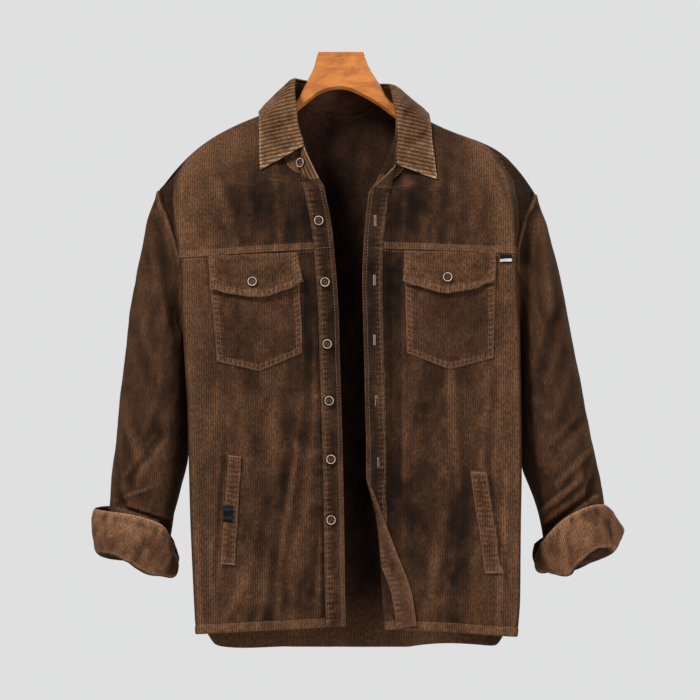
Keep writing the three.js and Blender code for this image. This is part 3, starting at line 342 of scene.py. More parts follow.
# How far the leaf stands off from the line between its fold and its free edge
LEAF = table("share off", [[0, 0], [0.07, 3.8], [0.2, 4], [0.45, 3.5], [0.75, 2], [1, 0]])
# Distances of the top stitching from the border that it follows
HEM = 11.5
YOKE_SEAMS = (2, 9)
STRIP_SEAM, STRIP_EDGE_SEAM = 4, 5
CUFF_SEAMS = (9, 2.5)
COLLAR_SEAM = 6.5
LAID_SEAMS = (2.2, 8)

# Outlines seen from the front: upper left, upper right, lower right, point, lower left
POCKETS = {
    "chest_pocket_right": [[-170.3, -273], [-54.6, -269.1], [-49.4, -391.3], [-104, -414.7], [-158.6, -403]],
    "chest_pocket_left": [[81.9, -267.8], [198.9, -269.1], [196.3, -397.8], [139.1, -412.1], [84.5, -391.3]],
}
FLAPS = {
    "pocket_flap_right": [[-171.6, -266.5], [-55.9, -262.6], [-52, -299.7], [-104, -319.8], [-166.4, -310.7]],
    "pocket_flap_left": [[81.9, -260], [200.2, -262.6], [197.6, -299.7], [139.1, -314.6], [81.9, -299.7]],
}
WELTS = {
    "welt_right": [[-144.3, -521.3], [-127.4, -523.9], [-135.2, -664.3], [-145.2, -663], [-155.2, -661.7]],
    "welt_left": [[166.4, -542.1], [185.9, -543.4], [208, -674.7], [196.3, -674.7], [184.6, -674.7]],
}
LABELS = {
    "label_pocket": [[-150.5, -586.3], [-137.5, -587.6], [-138.5, -608.4], [-145, -607.7], [-151.5, -607.1]],
    "label_yoke": [[204, -264.5], [219.5, -265.5], [219.5, -276], [211.8, -275.5], [204, -275]],
}
# Places of the buttons and the buttonholes, seen from the front
BUTTONS = [[-50.7, -146.9], [-28.6, -221], [-20.8, -300.3], [-18.2, -379.6], [-15.6, -452.4],
           [-13, -527.8], [-13, -605.8]]
FLAP_BUTTONS = {"flap_button_right": [-113.1, -300.3], "flap_button_left": [136.5, -294.4]}
BUTTONHOLES = [[44, -221], [43, -297.7], [43, -374.4], [45.5, -452.4], [48, -532], [49, -606]]
# Half lengths and pitches of the sewn details, and the radii of their threads, which are more than
# twice as thick as real ones so that they show at this distance
HOLE_HALF, HOLE_PITCH, HOLE_STITCHES = 6.5, 0.68, 20
# The slit of each buttonhole is drawn as a dark rod along the cut: painted shadow in the opening, not thread
SLIT_HALF = 6.4
TACK_HALF, TACK_PITCH = 1, 0.62
TOP_THREAD, HOLE_THREAD, TACK_THREAD, SLIT_SHADOW_RADIUS = 0.34, 0.36, 0.4, 0.5
# Bar tacks: the piece that each is sewn on, and its two ends
TACKS = [
    ["welt_right", -144, -523.5, -128, -525.5], ["welt_right", -153.5, -660.5, -136, -662.8],
    ["welt_left", 167, -544.5, 185, -545.5], ["welt_left", 186, -672.5, 206, -672.5],
    ["chest_pocket_right", -168, -276, -162, -276], ["chest_pocket_right", -62, -273, -57, -273],
    ["chest_pocket_left", 84, -272, 90, -272], ["chest_pocket_left", 191, -273, 197, -273],
]


# Small helpers on arrays

def smooth(t):
    """Eased step from 0 to 1."""
    c = np.clip(t, 0, 1)
    return c * c * (3 - 2 * c)


def length(a):
    """Length of each vector in the last axis."""
    return np.sqrt((a * a).sum(-1))


def unit(a):
    """Each vector of the last axis scaled to length one."""
    return a / np.maximum(length(a), 1e-9)[..., None]


def between(tab, v):
    """A table read between its rows: a smooth curve through each column that never overshoots."""
    names, a = tab
    v = np.atleast_1d(np.asarray(v, float))
    last = len(a) - 1
    i = np.clip(np.floor(v).astype(int), 0, last - 1)
    t = (v - i)[:, None]
    before, b, c, after = a[np.maximum(0, i - 1)], a[i], a[i + 1], a[np.minimum(last, i + 2)]

    def slope(x, y):
        most = 3 * np.minimum(abs(x), abs(y))
        return np.where(x * y <= 0, 0, np.sign(x) * np.minimum(abs(x + y) / 2, most))

    m0, m1 = slope(b - before, c - b), slope(c - b, after - c)
    t2, t3 = t * t, t ** 3
    out = (2 * t3 - 3 * t2 + 1) * b + (t3 - 2 * t2 + t) * m0 + (3 * t2 - 2 * t3) * c + (t3 - t2) * m1
    return {name: out[:, k] for k, name in enumerate(names)}


def noise(x, y, seed):
    """Smooth noise from -1 to 1 on a square lattice."""
    x, y = np.broadcast_arrays(np.asarray(x, float), np.asarray(y, float))
    xi, yi = np.floor(x), np.floor(y)
    fx, fy = smooth(x - xi), smooth(y - yi)

    def value(i, j):
        n = np.sin(i * 127.1 + j * 311.7 + seed * 74.7) * 43758.5453
        return 2 * (n - np.floor(n)) - 1

    low = value(xi, yi) * (1 - fx) + value(xi + 1, yi) * fx
    high = value(xi, yi + 1) * (1 - fx) + value(xi + 1, yi + 1) * fx
    return low * (1 - fy) + high * fy


def fold_depth(x, z, folds, fade=FOLD_FADE):
    """Depth of soft folds at points seen from the front, plus outwards."""
    depth = np.zeros(np.broadcast(x, z).shape)
    for row in folds[1]:
        x0, z0, x1, z1, half, amount = row[:6]
        along = np.clip((z0 - z) / (z0 - z1), 0, 1)
        past = np.maximum(np.maximum(z - z0, z1 - z), 0)
        across = abs(x - (x0 + (x1 - x0) * along)) / half
        depth += amount * (1 - smooth(across)) * (1 - smooth(past / fade))
    return depth


def crinkle(x, z, seed, amount=1.0):
    """Uneven small dents of washed corduroy, longer along the wales than across them."""
    return amount * (0.9 * noise(x / 26, z / 46, seed) + 0.6 * noise(x / 12, z / 20, seed + 1)
                     + 0.35 * noise(x / 6, z / 10, seed + 2))


def pucker(along, across, seed, depth=0.7, pitch=9, reach=8):
    """Gathers beside a line of stitches: short waves along it that die out across it."""
    wave = noise(along / pitch, 0.37, seed) + 0.6 * noise(along / (pitch * 0.55), 0.61, seed + 5)
    return depth * wave * bell(across, reach)


def bell(distance, half):
    """Round bump of height one on a line, which has sunk to about a third at the half width."""
    return np.exp(-(distance / half) ** 2)


def ladder(along, across, seed, place=5.0):
    """Even puffs between two rows of stitches, like the rungs of a ladder."""
    phase = along / LADDER_PITCH + 0.35 * noise(along / 17, 0.5, seed)
    return (0.5 + 0.5 * np.sin(2 * np.pi * phase)) * bell(across - place, LADDER_REACH)


# Plan of one front, rows r, and its points for stations u

def front_section(r, side):
    """Straight part, round fold and side of each row of a front, in plan."""
    start = np.stack([r["xi"] + side * r["roll"], r["yi"]], -1)
    corner = np.stack([r["xc"], r["yc"]], -1)
    end = np.stack([r["xo"], r["yo"]], -1)
    sharp = r["rc"] * FOLD_SHARPNESS
    p = corner + (start - corner) * np.minimum(sharp / length(corner - start), 0.8)[:, None]
    q = corner + (end - corner) * np.minimum(sharp / length(end - corner), 0.8)[:, None]
    return {"start": start, "corner": corner, "end": end, "p": p, "q": q, "straight": length(p - start),
            "bend": length(q - p) * 1.1, "tail": length(end - q)}


def front_points(name, v, u):
    """Points of a front: u up to 1 runs along the straight part (below 0 round the turned edge), to 2 round
    the fold beside the sleeve, and to 3 back to the side."""
    s = SIDES[name]
    side, power = s["side"], s["power"]
    r = between(s["rows"], v)
    f = front_section(r, side)
    col = {k: a[:, None] for k, a in r.items()}
    straight, bend, tail = (f[k][:, None] for k in ("straight", "bend", "tail"))
    start, corner, end, p, q = (f[k][:, None, :] for k in ("start", "corner", "end", "p", "q"))
    u = np.broadcast_to(u, (len(r["xi"]), np.shape(u)[-1]))
    d = np.minimum(u, 1) * straight
    t = np.maximum(d, 0) / straight
    plan = start + (p - start) * t[..., None]
    plan[..., 1] -= col["bow"] * np.sin(np.pi * t) ** 2
    roll = np.maximum(col["roll"], 1e-6)
    rolled = (d < 0) & (col["roll"] > 0)
    angle = np.minimum(np.pi, -d / roll)
    back = np.maximum(0, -d - np.pi * col["roll"])
    plan[..., 0] -= np.where(rolled, side * roll * np.sin(angle), 0)
    plan[..., 1] -= np.where(rolled, roll * (1 - np.cos(angle)), 0)
    plan[..., 0] += np.where(rolled, side * back, 0)
    lift = np.where(rolled, back * 0.16, 0)
    b = np.clip(u - 1, 0, 1)[..., None]
    round_part = (p + (corner - p) * b) * (1 - b) + (corner + (q - corner) * b) * b
    w = np.clip(u - 2, 0, 1)[..., None]
    plan = np.where(u[..., None] > 2, q + (end - q) * w, np.where(u[..., None] > 1, round_part, plan))
    run = np.maximum(d, 0) + bend * b[..., 0] + tail * w[..., 0]
    share = np.minimum(1, run / (straight + bend + tail))
    z = col["zi"] + (col["zo"] - col["zi"]) * share + col["arch"] * np.sin(np.pi * share ** power) + lift
    x = plan[..., 0]
    keep = 1 - smooth((u - 1) / 0.6)
    depth = fold_depth(x, z, FOLDS) * (u <= 1) + 0.7 * fold_depth(x, z, CREASES, CREASE_FADE) * keep
    depth += crinkle(x, z, 3 if name == "right" else 8, 1.35) * keep * smooth((-z - 120) / 60)
    return np.stack([x, plan[..., 1] - depth, z], -1), depth


def heights(tab, top, bottom, step, extra=()):
    """Row positions between two rows of a table, about step apart, with extra ones at given distances."""
    fine = np.linspace(bottom, top, 1500)
    r = between(tab, fine)
    reach = np.concatenate([[0], np.cumsum(np.hypot(np.diff(r["zi"]), np.diff(r["yi"])))])
    marks = np.linspace(0, reach[-1], max(2, int(reach[-1] / step)))
    for d in extra:
        marks = np.append(marks, d if d >= 0 else reach[-1] + d)
    marks = np.unique(np.round(marks, 2))
    keep = np.concatenate([[True], np.diff(marks) > 0.45])
    keep[-1] = True
    return np.interp(marks[keep], reach, fine)


# Cloth surfaces

FAR_FROM_EDGE = 99.0


class Surface:
    """A grid of points in millimetres with normals, cloth coordinates and how far each point stands out."""

    def __init__(self, points, relief=None, wrap=False, flip=False, across=None):
        self.p = points
        self.wrap = wrap
        rows, columns = points.shape[:2]
        if wrap:
            wide = np.concatenate([points[:, -1:], points, points[:, :1]], 1)
        else:
            wide = np.concatenate([points[:, :1] * 2 - points[:, 1:2], points,
                                   points[:, -1:] * 2 - points[:, -2:-1]], 1)
        tall = np.concatenate([points[:1] * 2 - points[1:2], points, points[-1:] * 2 - points[-2:-1]], 0)
        du = wide[:, 2:] - wide[:, :-2]
        dv = tall[2:] - tall[:-2]
        self.n = unit(np.cross(du, dv)) * (-1 if flip else 1)
        self.flip = flip
        closed = np.concatenate([points, points[:, :1]], 1) if wrap else points
        step_u = length(np.diff(closed, axis=1))
        step_v = length(np.diff(closed, axis=0))
        u = np.concatenate([np.zeros((rows, 1)), np.cumsum(step_u, 1)], 1)
        v = np.concatenate([np.zeros((1, closed.shape[1])), np.cumsum(step_v, 0)], 0)
        self.reach_u, self.reach_v = u, v
        self.uv = np.stack([u if across is None else across, v], -1)
        self.relief = np.zeros((rows, columns)) if relief is None else relief
        self.outer = np.zeros((rows, columns))
        self.edge = np.full((rows, columns), FAR_FROM_EDGE)
        # paler pile from wear and painted highlights, painted shade, and painted light on the inner side
        self.paler_pile = np.zeros((rows, columns))
        self.shade = np.zeros((rows, columns))
        self.inside_painted_light = np.zeros((rows, columns))
        self.cells = np.ones((rows - 1, columns if wrap else columns - 1), bool)

    def borders(self):
        """Distance of each point from the bottom, top, first and last border."""
        u, v = self.reach_u, self.reach_v
        if self.wrap:
            u, v = u[:, :-1], v[:, :-1]
        return {"bottom": v, "top": v[-1:] - v, "first": u, "last": u[:, -1:] - u}

    def free(self, *names):
        """Marks borders as folded or finished edges, which are rounded and worn."""
        d = self.borders()
        for name in names:
            self.edge = np.minimum(self.edge, d[name])
        return self

    def raise_by(self, amount):
        """Moves the outer side out by an amount at each point, and notes it as relief."""
        self.outer = self.outer + amount
        self.relief = self.relief + amount
        return self

    def add_wear_and_light(self, amount):
        """Adds paler pile at each point: worn pile, and painted highlights and painted light."""
        self.paler_pile = self.paler_pile + amount
        return self

    def paint_shade(self, amount):
        """Adds painted shade at each point: darker pile colour where shade falls."""
        self.shade = self.shade + amount
        return self

    def at(self, i, j):
        """Point and normal between grid points, on the outer side."""
        rows, columns = self.p.shape[:2]
        i = np.clip(i, 0, rows - 1.001)
        j = np.clip(j, 0, columns - 1.001)
        a, b = np.floor(i).astype(int), np.floor(j).astype(int)
        fi, fj = (i - a)[..., None], (j - b)[..., None]

        def read(g):
            return ((g[a, b] * (1 - fj) + g[a, b + 1] * fj) * (1 - fi)
                    + (g[a + 1, b] * (1 - fj) + g[a + 1, b + 1] * fj) * fi)

        n = unit(read(self.n))
        return read(self.p) + n * read(self.outer[..., None]), n

    def line(self, edge, offset, start=0.0, end=0.0):
        """Points and normals of a line that runs beside one border at a distance."""
        u, v = self.reach_u, self.reach_v
        rows, columns = self.p.shape[:2]
        if edge in ("first", "last"):
            i = np.arange(rows, dtype=float)
            j = np.array([np.interp(offset if edge == "first" else u[k, columns - 1] - offset, u[k, :columns],
                                    np.arange(columns)) for k in range(rows)])
        else:
            j = np.arange(columns, dtype=float)
            i = np.array([np.interp(offset if edge == "bottom" else v[-1, k] - offset, v[:, k],
                                    np.arange(rows)) for k in range(columns)])
        p, n = self.at(i, j)
        reach = np.concatenate([[0], np.cumsum(length(np.diff(p, axis=0)))])
        keep = (reach >= start) & (reach <= reach[-1] - end)
        return p[keep], n[keep]


CLOTH = 1.6  # thickness of the corduroy
STEP = 3.4  # from one grid point to the next on the fronts and yokes
FRONT_WIDTH = 165  # of a front's straight part, for the number of grid points


def body_columns(name, v):
    """Stations of a lower front or yoke from the front strip to the side."""
    s = SIDES[name]
    r = between(s["rows"], v)
    f = front_section(r, s["side"])
    rolled = r["turn"] + np.pi * r["roll"]
    near = np.array([0, 0.8, 1.8, 3.2, 5, 7, 9.2, 11.6, 14, 16.5, 19, 21.5, 24, 26.6, 29.3, 32])
    lead = ((PLACKET + near)[None, :] - rolled[:, None]) / f["straight"][:, None]
    count = int(FRONT_WIDTH / STEP)
    rest = lead[:, -1:] + (1 - lead[:, -1:]) * np.linspace(0, 1, count + 1)[None, 1:]
    tail = np.tile(np.concatenate([np.linspace(1, 2, 8)[1:], np.linspace(2, 3, 15)[1:]]), (len(v), 1))
    return np.concatenate([lead, rest, tail], 1)


def edge_columns(name, v, stations):
    """Stations of a front strip for distances from its free edge."""
    s = SIDES[name]
    r = between(s["rows"], v)
    f = front_section(r, s["side"])
    return (stations[None, :] - (r["turn"] + np.pi * r["roll"])[:, None]) / f["straight"][:, None]


def paint_light_shade_and_wear(surface, x, z):
    """Paints highlights and worn pile, and painted shade, at the places of the table."""
    for x0, z0, wide, tall, amount in LIGHT_SHADE_AND_WEAR_PLACES[1]:
        here = amount * np.exp(-((x - x0) / wide) ** 2 - ((z - z0) / tall) ** 2)
        surface.add_wear_and_light(np.maximum(here, 0)).paint_shade(np.maximum(-here, 0))


def fold_edge_highlight_and_wear(u):
    """Share of paler pile along the pressed fold beside the sleeve: a painted highlight on the fold, with its
    worn pile.
    """
    return bell(u - 1.12, 0.3)


def plan_across(points, stations):
    """Cloth coordinate across the wales: x on the front, so that they hang straight, else distance in plan."""
    wide = np.diff(points[..., 0], axis=1)
    flat = (stations[:, :-1] >= 0) & (stations[:, 1:] <= 1)
    step = np.where(flat, abs(wide), np.hypot(wide, np.diff(points[..., 1], axis=1)))
    total = np.concatenate([np.zeros((len(points), 1)), np.cumsum(step, 1)], 1)
    rows = np.arange(len(points))
    first = (stations >= 0).argmax(1)
    return total + (abs(points[rows, first, 0]) - total[rows, first])[:, None]


def make_body():
    """Surfaces of the fronts, yokes, front strips and back."""
    out = {}
    for name, s in SIDES.items():
        last = len(s["rows"][1]) - 1
        seed = 11 if name == "right" else 31
        v = heights(s["rows"], s["yoke"], 0, STEP, (0.8, 1.8, 9.5, 11, 12.5, -0.8, -1.8, -3))
        cols = body_columns(name, v)
        p, relief = front_points(name, v, cols)
        lower = Surface(p, relief, flip=s["flip"], across=plan_across(p, cols))
        d = lower.borders()
        lower.raise_by(0.9 * (1 - smooth((d["bottom"] - 10) / 2.4)) - 0.5 * bell(d["bottom"] - HEM, 1.6))
        lower.raise_by(pucker(d["first"], d["bottom"] - 9, seed, 1.0)
                       + pucker(d["bottom"], d["first"], seed + 1, 1.2)
                       + pucker(d["first"], d["top"], seed + 2, 0.4))
        lower.raise_by(-0.5 * bell(d["top"], 1.8) - 1.2 * bell(d["first"], 2.2))
        # paler worn hem, and a painted highlight with worn pile on the pressed fold beside the sleeve; then
        # painted shade below the yoke's edge and beside the front strip's seam
        lower.add_wear_and_light(0.6 * (1 - smooth((d["bottom"] - 10) / 4)) + 0.8 * fold_edge_highlight_and_wear(cols))
        lower.paint_shade(0.4 * bell(d["top"], 5) + 0.5 * bell(d["first"], 6))
        x, z = p[..., 0], p[..., 2]
        paint_light_shade_and_wear(lower, x, z)
        out["front_" + name] = lower.free("bottom")

        v = heights(s["rows"], last, s["yoke"], STEP, (0.8, 1.8, 3, 4.5, -0.8))
        v = np.unique(np.append(v[abs(v - s["neck"]) > 0.03], s["neck"]))
        strip_stations = np.linspace(0, PLACKET, 9)[:-1]
        cols = np.concatenate([edge_columns(name, v, strip_stations), body_columns(name, v)], 1)
        p, relief = front_points(name, v, cols)
        yoke = Surface(p, relief, flip=s["flip"], across=plan_across(p, cols))
        # below the neck the yoke ends at the front strip, above it the yoke reaches the collar stand
        below = v <= s["neck"]
        yoke.cells[below[1:], :len(strip_stations)] = False
        d = yoke.borders()
        seam = np.where(below[:, None], d["first"] - d["first"][:, len(strip_stations)][:, None], d["first"])
        yoke.raise_by(0.8 * (1 - smooth((d["bottom"] - 9) / 2)) * smooth(d["bottom"] / 1.2)
                      - 0.5 * bell(d["bottom"], 0.9))
        yoke.raise_by(pucker(d["first"], d["bottom"] - 5, seed + 3, 0.8, 10, 10))
        yoke.raise_by(-1.2 * bell(seam, 2.2) * below[:, None])
        # paler worn yoke seam, and a painted highlight with worn pile on the pressed fold; then painted shade
        # beside the front strip's seam and at the yoke's lower edge
        yoke.add_wear_and_light(0.75 * (1 - smooth((d["bottom"] - 8) / 3)) + 0.8 * fold_edge_highlight_and_wear(cols))
        yoke.paint_shade(0.5 * bell(seam, 6) * below[:, None] + 0.2 * bell(d["bottom"], 1.2))
        x, z = p[..., 0], p[..., 2]
        paint_light_shade_and_wear(yoke, x, z)
        fold = SHOULDER_FOLDS[name][1]
        past = s["side"] * (x - np.interp(-z, -fold[:, 1], fold[:, 0]))
        inside = smooth((fold[0, 1] - z + 14) / 20)
        yoke.raise_by(-1.6 * smooth(past / 9) * inside)
        # a painted highlight along the fold line, painted shade just past it and painted light further past it
        yoke.add_wear_and_light(1.3 * bell(past + 1.2, 2.2) * inside)
        yoke.paint_shade(0.6 * bell(past - 4, 3.5) * inside).add_wear_and_light(0.4 * smooth((past - 8) / 8) * inside)
        out["front_yoke_" + name] = yoke

        v = heights(s["rows"], s["neck"], 0, 1.7, (0.8, 9.5, 11))
        stations = np.array([0, 0.5, 1.2, 2.4, 4, 6, 8.5, 11, 13.5, 16, 18.5, 20.5, 22, 23.2, 24.2, 25.2, 26])
        p, relief = front_points(name, v, edge_columns(name, v, stations))
        strip = Surface(p, relief, flip=s["flip"])
        d = strip.borders()
        strip.raise_by(0.9 + pucker(d["bottom"], d["last"] - 3, seed + 4, 1.3, 7, 10)
                       + pucker(d["bottom"], d["first"], seed + 6, 0.8, 9, 8))
        strip.raise_by(-0.35 * bell(d["last"] - STRIP_SEAM, 1.3)
                       - 0.3 * bell(d["first"] - STRIP_EDGE_SEAM, 1.3))
        rungs = ladder(d["bottom"], d["last"], seed + 8, 6)
        strip.raise_by(0.8 * rungs)
        # painted highlights with worn pile on the puffs, and paler pile beside the seam
        strip.add_wear_and_light(0.5 * rungs + 0.2 * bell(d["last"] - 1.5, 2.5))
        strip.add_wear_and_light(0.5 * bell(d["first"] - 3, 3) * smooth((-p[..., 2] - 520) / 40))
        # painted shade: the strip is darker from just above its lower end upwards, the left strip much more
        strip.paint_shade((1.0 if name == "left" else 0.3) * smooth((p[..., 2] + 620) / 60))
        out["placket_" + name] = strip.free("bottom", "first", "last")

    v = heights(BACK_RIGHT, len(BACK_RIGHT[1]) - 1, 0, 5, (0.8, 1.8, 11, 12.5))
    right, left = back_half("right", v), back_half("left", v)
    points = np.concatenate([right[:, :0:-1], left], 1)
    middle = right.shape[1] - 1
    plan = plan_across(points, np.full(points.shape[:2], 2.0))
    x, z = points[..., 0], points[..., 2]
    facing = smooth((points[..., 1] - 20) / 30)
    relief = (fold_depth(x, z, BACK_CREASES, 70) + crinkle(x, z, 21, 0.55)) * facing
    points[..., 1] += relief
    back = Surface(points, relief, flip=True, across=plan - plan[:, middle:middle + 1])
    d = back.borders()
    back.raise_by(0.5 * (1 - smooth((d["bottom"] - 10) / 2.4)) + pucker(d["first"], d["bottom"] - 9, 51, 0.55))
    # painted light: the inner side of the back is paler near the hem, where the fronts shade it
    back.inside_painted_light = 1 - smooth((d["bottom"] - 30) / 60)
    out["back"] = back.free("bottom")
    return out


def back_half(name, v):
    """Half of the back panel, from the middle line to the side."""
    r = {k: a[:, None] for k, a in between(SIDES[name]["back"], v).items()}
    k = np.concatenate([r["xk"], r["yk"]], 1)
    corner = np.concatenate([r["xc"], r["yc"]], 1)
    end = np.concatenate([r["xo"], r["yo"]], 1)
    p = corner + (k - corner) * np.minimum(0.8, r["rc"] / length(corner - k)[:, None])
    q = corner + (end - corner) * np.minimum(0.8, r["rc"] / length(corner - end)[:, None])
    first, bend, tail = length(p - k)[:, None], length(q - p)[:, None] * 1.1, length(end - q)[:, None]
    total = first + bend + tail

    def at(x, y, run):
        share = run / total
        z = r["zk"] + (r["zo"] - r["zk"]) * share + r["arch"] * np.sin(np.pi * share ** SIDES[name]["power"])
        return np.stack([x, y, z], -1)

    t = np.linspace(0, 1, 17)[None, :-1]
    x = r["xi"] + (k[:, :1] - r["xi"]) * t
    y = r["yi"] + (k[:, 1:] - r["yi"]) * t + (r["yi"] - r["yk"]) * 0.35 * np.sin(np.pi * t)
    inner = np.stack([x, y, r["zi"] + (r["zk"] - r["zi"]) * smooth(t)], -1)
    t = np.linspace(0, 1, 22)[None, :]
    straight = at(k[:, :1] + (p - k)[:, :1] * t, k[:, 1:] + (p - k)[:, 1:] * t, first * t)
    t = np.linspace(0, 1, 8)[None, 1:]
    a = [p[:, c:c + 1] + (corner - p)[:, c:c + 1] * t for c in (0, 1)]
    b = [corner[:, c:c + 1] + (q - corner)[:, c:c + 1] * t for c in (0, 1)]
    bent = at(a[0] * (1 - t) + b[0] * t, a[1] * (1 - t) + b[1] * t, first + bend * t)
    t = np.linspace(0, 1, 12)[None, 1:]
    side = at(q[:, :1] + (end - q)[:, :1] * t, q[:, 1:] + (end - q)[:, 1:] * t, first + bend + tail * t)
    return np.concatenate([inner, straight, bent, side], 1)


def make_sleeve(name, body):
    """Surface of one sleeve, from the armhole to the cuff."""
    rings = SLEEVE_RIGHT if name == "right" else SLEEVE_LEFT
    s = SIDES[name]
    front = np.concatenate([body["front_" + name].p[:, -1], body["front_yoke_" + name].p[1:, -1]])
    back = body["back"].p[:, 0] if name == "right" else body["back"].p[:, -1]
    underarm = s["rows"][1][s["underarm"]][1]
    down = front[front[:, 2] > underarm - 1][::-1]
    up = back[back[:, 2] > underarm - 1]
    loop = np.concatenate([down, up[1:-1]])
    under = int(loop[:, 2].argmin())
    reach = np.concatenate([[0], np.cumsum(length(np.diff(np.concatenate([loop, loop[:1]]), axis=0)))])
    half, total = reach[under], reach[-1]
    even = np.concatenate([np.linspace(0, half, 66), np.linspace(half, total, 67)[1:-1]])
    loop = np.stack([np.interp(even, reach, np.append(loop[:, c], loop[0, c])) for c in range(3)], -1)
    angle = np.where(even <= half, np.pi * even / half, np.pi * (1 + (even - half) / (total - half)))

    def ring(v):
        r = {k: a[:, None] for k, a in between(rings, v).items()}
        outer = np.stack([r["xo"], 0 * r["xo"], r["zo"]], -1)
        inner = np.stack([r["xi"], 0 * r["xi"], r["zi"]], -1)
        centre = (outer + inner) / 2
        out = centre + (outer - centre) * np.cos(angle)[None, :, None]
        out[..., 1] -= r["half"] * np.sin(angle)[None, :]
        return out

    v = np.linspace(0, len(rings[1]) - 1, 136)
    keep = (1 - smooth((v - 0.7) / SLEEVE_BLEND))[:, None, None]
    points = ring(v) + (loop - ring(np.zeros(1))[0])[None] * keep
    base = Surface(points, wrap=True, flip=s["flip"])
    x, z = points[..., 0], points[..., 2]
    relief = np.zeros(x.shape)
    for face in (1, -1):
        rows = SLEEVE_CREASES[1][SLEEVE_CREASES[1][:, 6] == face]
        side = smooth(-base.n[..., 1] * face * 1.6)
        relief += 0.8 * fold_depth(x, z, (None, rows), CREASE_FADE) * side
    around = np.cos(angle)[None, :] * 70
    relief += crinkle(around, z + np.sin(angle)[None, :] * 40, 61 if name == "right" else 71, 0.7)
    relief *= smooth(v / 0.6)[:, None] * smooth((len(rings[1]) - 1.05 - v) / 0.5)[:, None]
    d = base.borders()
    relief += pucker(d["first"], d["bottom"], 65, 1.6, 9, 13) * smooth(d["bottom"] / 3)
    points = points + base.n * relief[..., None]
    out = Surface(points, relief, wrap=True, flip=s["flip"])
    out.raise_by(0.9 * smooth(d["bottom"] / 3) * (1 - smooth((d["bottom"] - 7) / 4))
                 - 0.9 * bell(d["bottom"], 2))
    # paler pile beside the armhole seam and a painted highlight on raised creases; painted shade in their
    # troughs, at the armhole and towards the cuff; the whole sleeve a little paler
    out.add_wear_and_light(0.35 * bell(d["bottom"] - 5, 4) + 0.2 * smooth((relief - 1.5) / 5))
    out.paint_shade(0.2 * smooth((-relief - 1.5) / 5)).add_wear_and_light(0.12)
    out.paint_shade(0.5 * bell(d["bottom"], 3) + 0.35 * bell(d["top"], 26))
    return out


def make_cuff(name, sleeve):
    """Surface of one turned-back cuff: from the sleeve's end round the lower edge and up the outside."""
    stations = CUFF_RIGHT if name == "right" else CUFF_LEFT
    ring = sleeve.p[-1]
    centre = ring.mean(0)
    c = between(stations, np.linspace(0, len(stations[1]) - 1, 112))
    bottom = np.stack([c["xb"], c["yb"], c["zb"]], -1)
    top = np.stack([c["xt"], c["yt"], c["zt"]], -1)
    gap = np.hypot(ring[None, :, 0] - bottom[:, None, 0], ring[None, :, 1] - bottom[:, None, 1])
    start = ring[gap.argmin(1)]
    out = unit((bottom - centre) * np.array([1, 1, 0]))
    down = np.array([0, 0, -1.0])
    levels = [start + down * CUFF_JOIN, start + down * (CUFF_JOIN + CUFF_FOLD), bottom - out * CUFF_FOLD]
    levels += [bottom + (top - bottom) * share + out * swell for share, swell in CUFF_RISE[1]]
    stack = np.stack(levels)
    level = np.linspace(0, len(stack) - 1, CUFF_LEVELS)
    grid = between((range(stack[0].size), stack.reshape(len(stack), -1)), level)
    points = np.stack([grid[k] for k in range(stack[0].size)], -1).reshape(CUFF_LEVELS, -1, 3)
    for _ in range(3):
        points[:, 1:-1] = (points[:, :-2] + 2 * points[:, 1:-1] + points[:, 2:]) / 4
    flip = name == "right"
    base = Surface(points, flip=flip)
    d = base.borders()
    seed = 81 if flip else 91
    relief = (1.8 * noise(d["first"] / 24, d["bottom"] / 34, seed)
              + 0.8 * noise(d["first"] / 9, d["bottom"] / 16, seed + 1))
    relief *= smooth((d["bottom"] - 6) / 12)
    points = points + base.n * relief[..., None]
    cuff = Surface(points, relief, flip=flip)
    cuff.raise_by(pucker(d["first"], d["top"] - 8, seed + 2, 1.1, 8, 7)
                  - 0.6 * bell(d["top"] - CUFF_SEAMS[0], 1.5) + 0.4)
    level = np.broadcast_to(level[:, None], d["top"].shape)
    cuff.add_wear_and_light(0.5 * bell(d["top"], 5) + 0.6 * bell(level - 2.8, 0.25))
    # painted shade inside the cuff, from the sleeve's end round to its lower fold
    cuff.paint_shade(1.0 * (1 - smooth((level - 2.15) / 0.45)))
    return cuff.free("top", "first", "last")


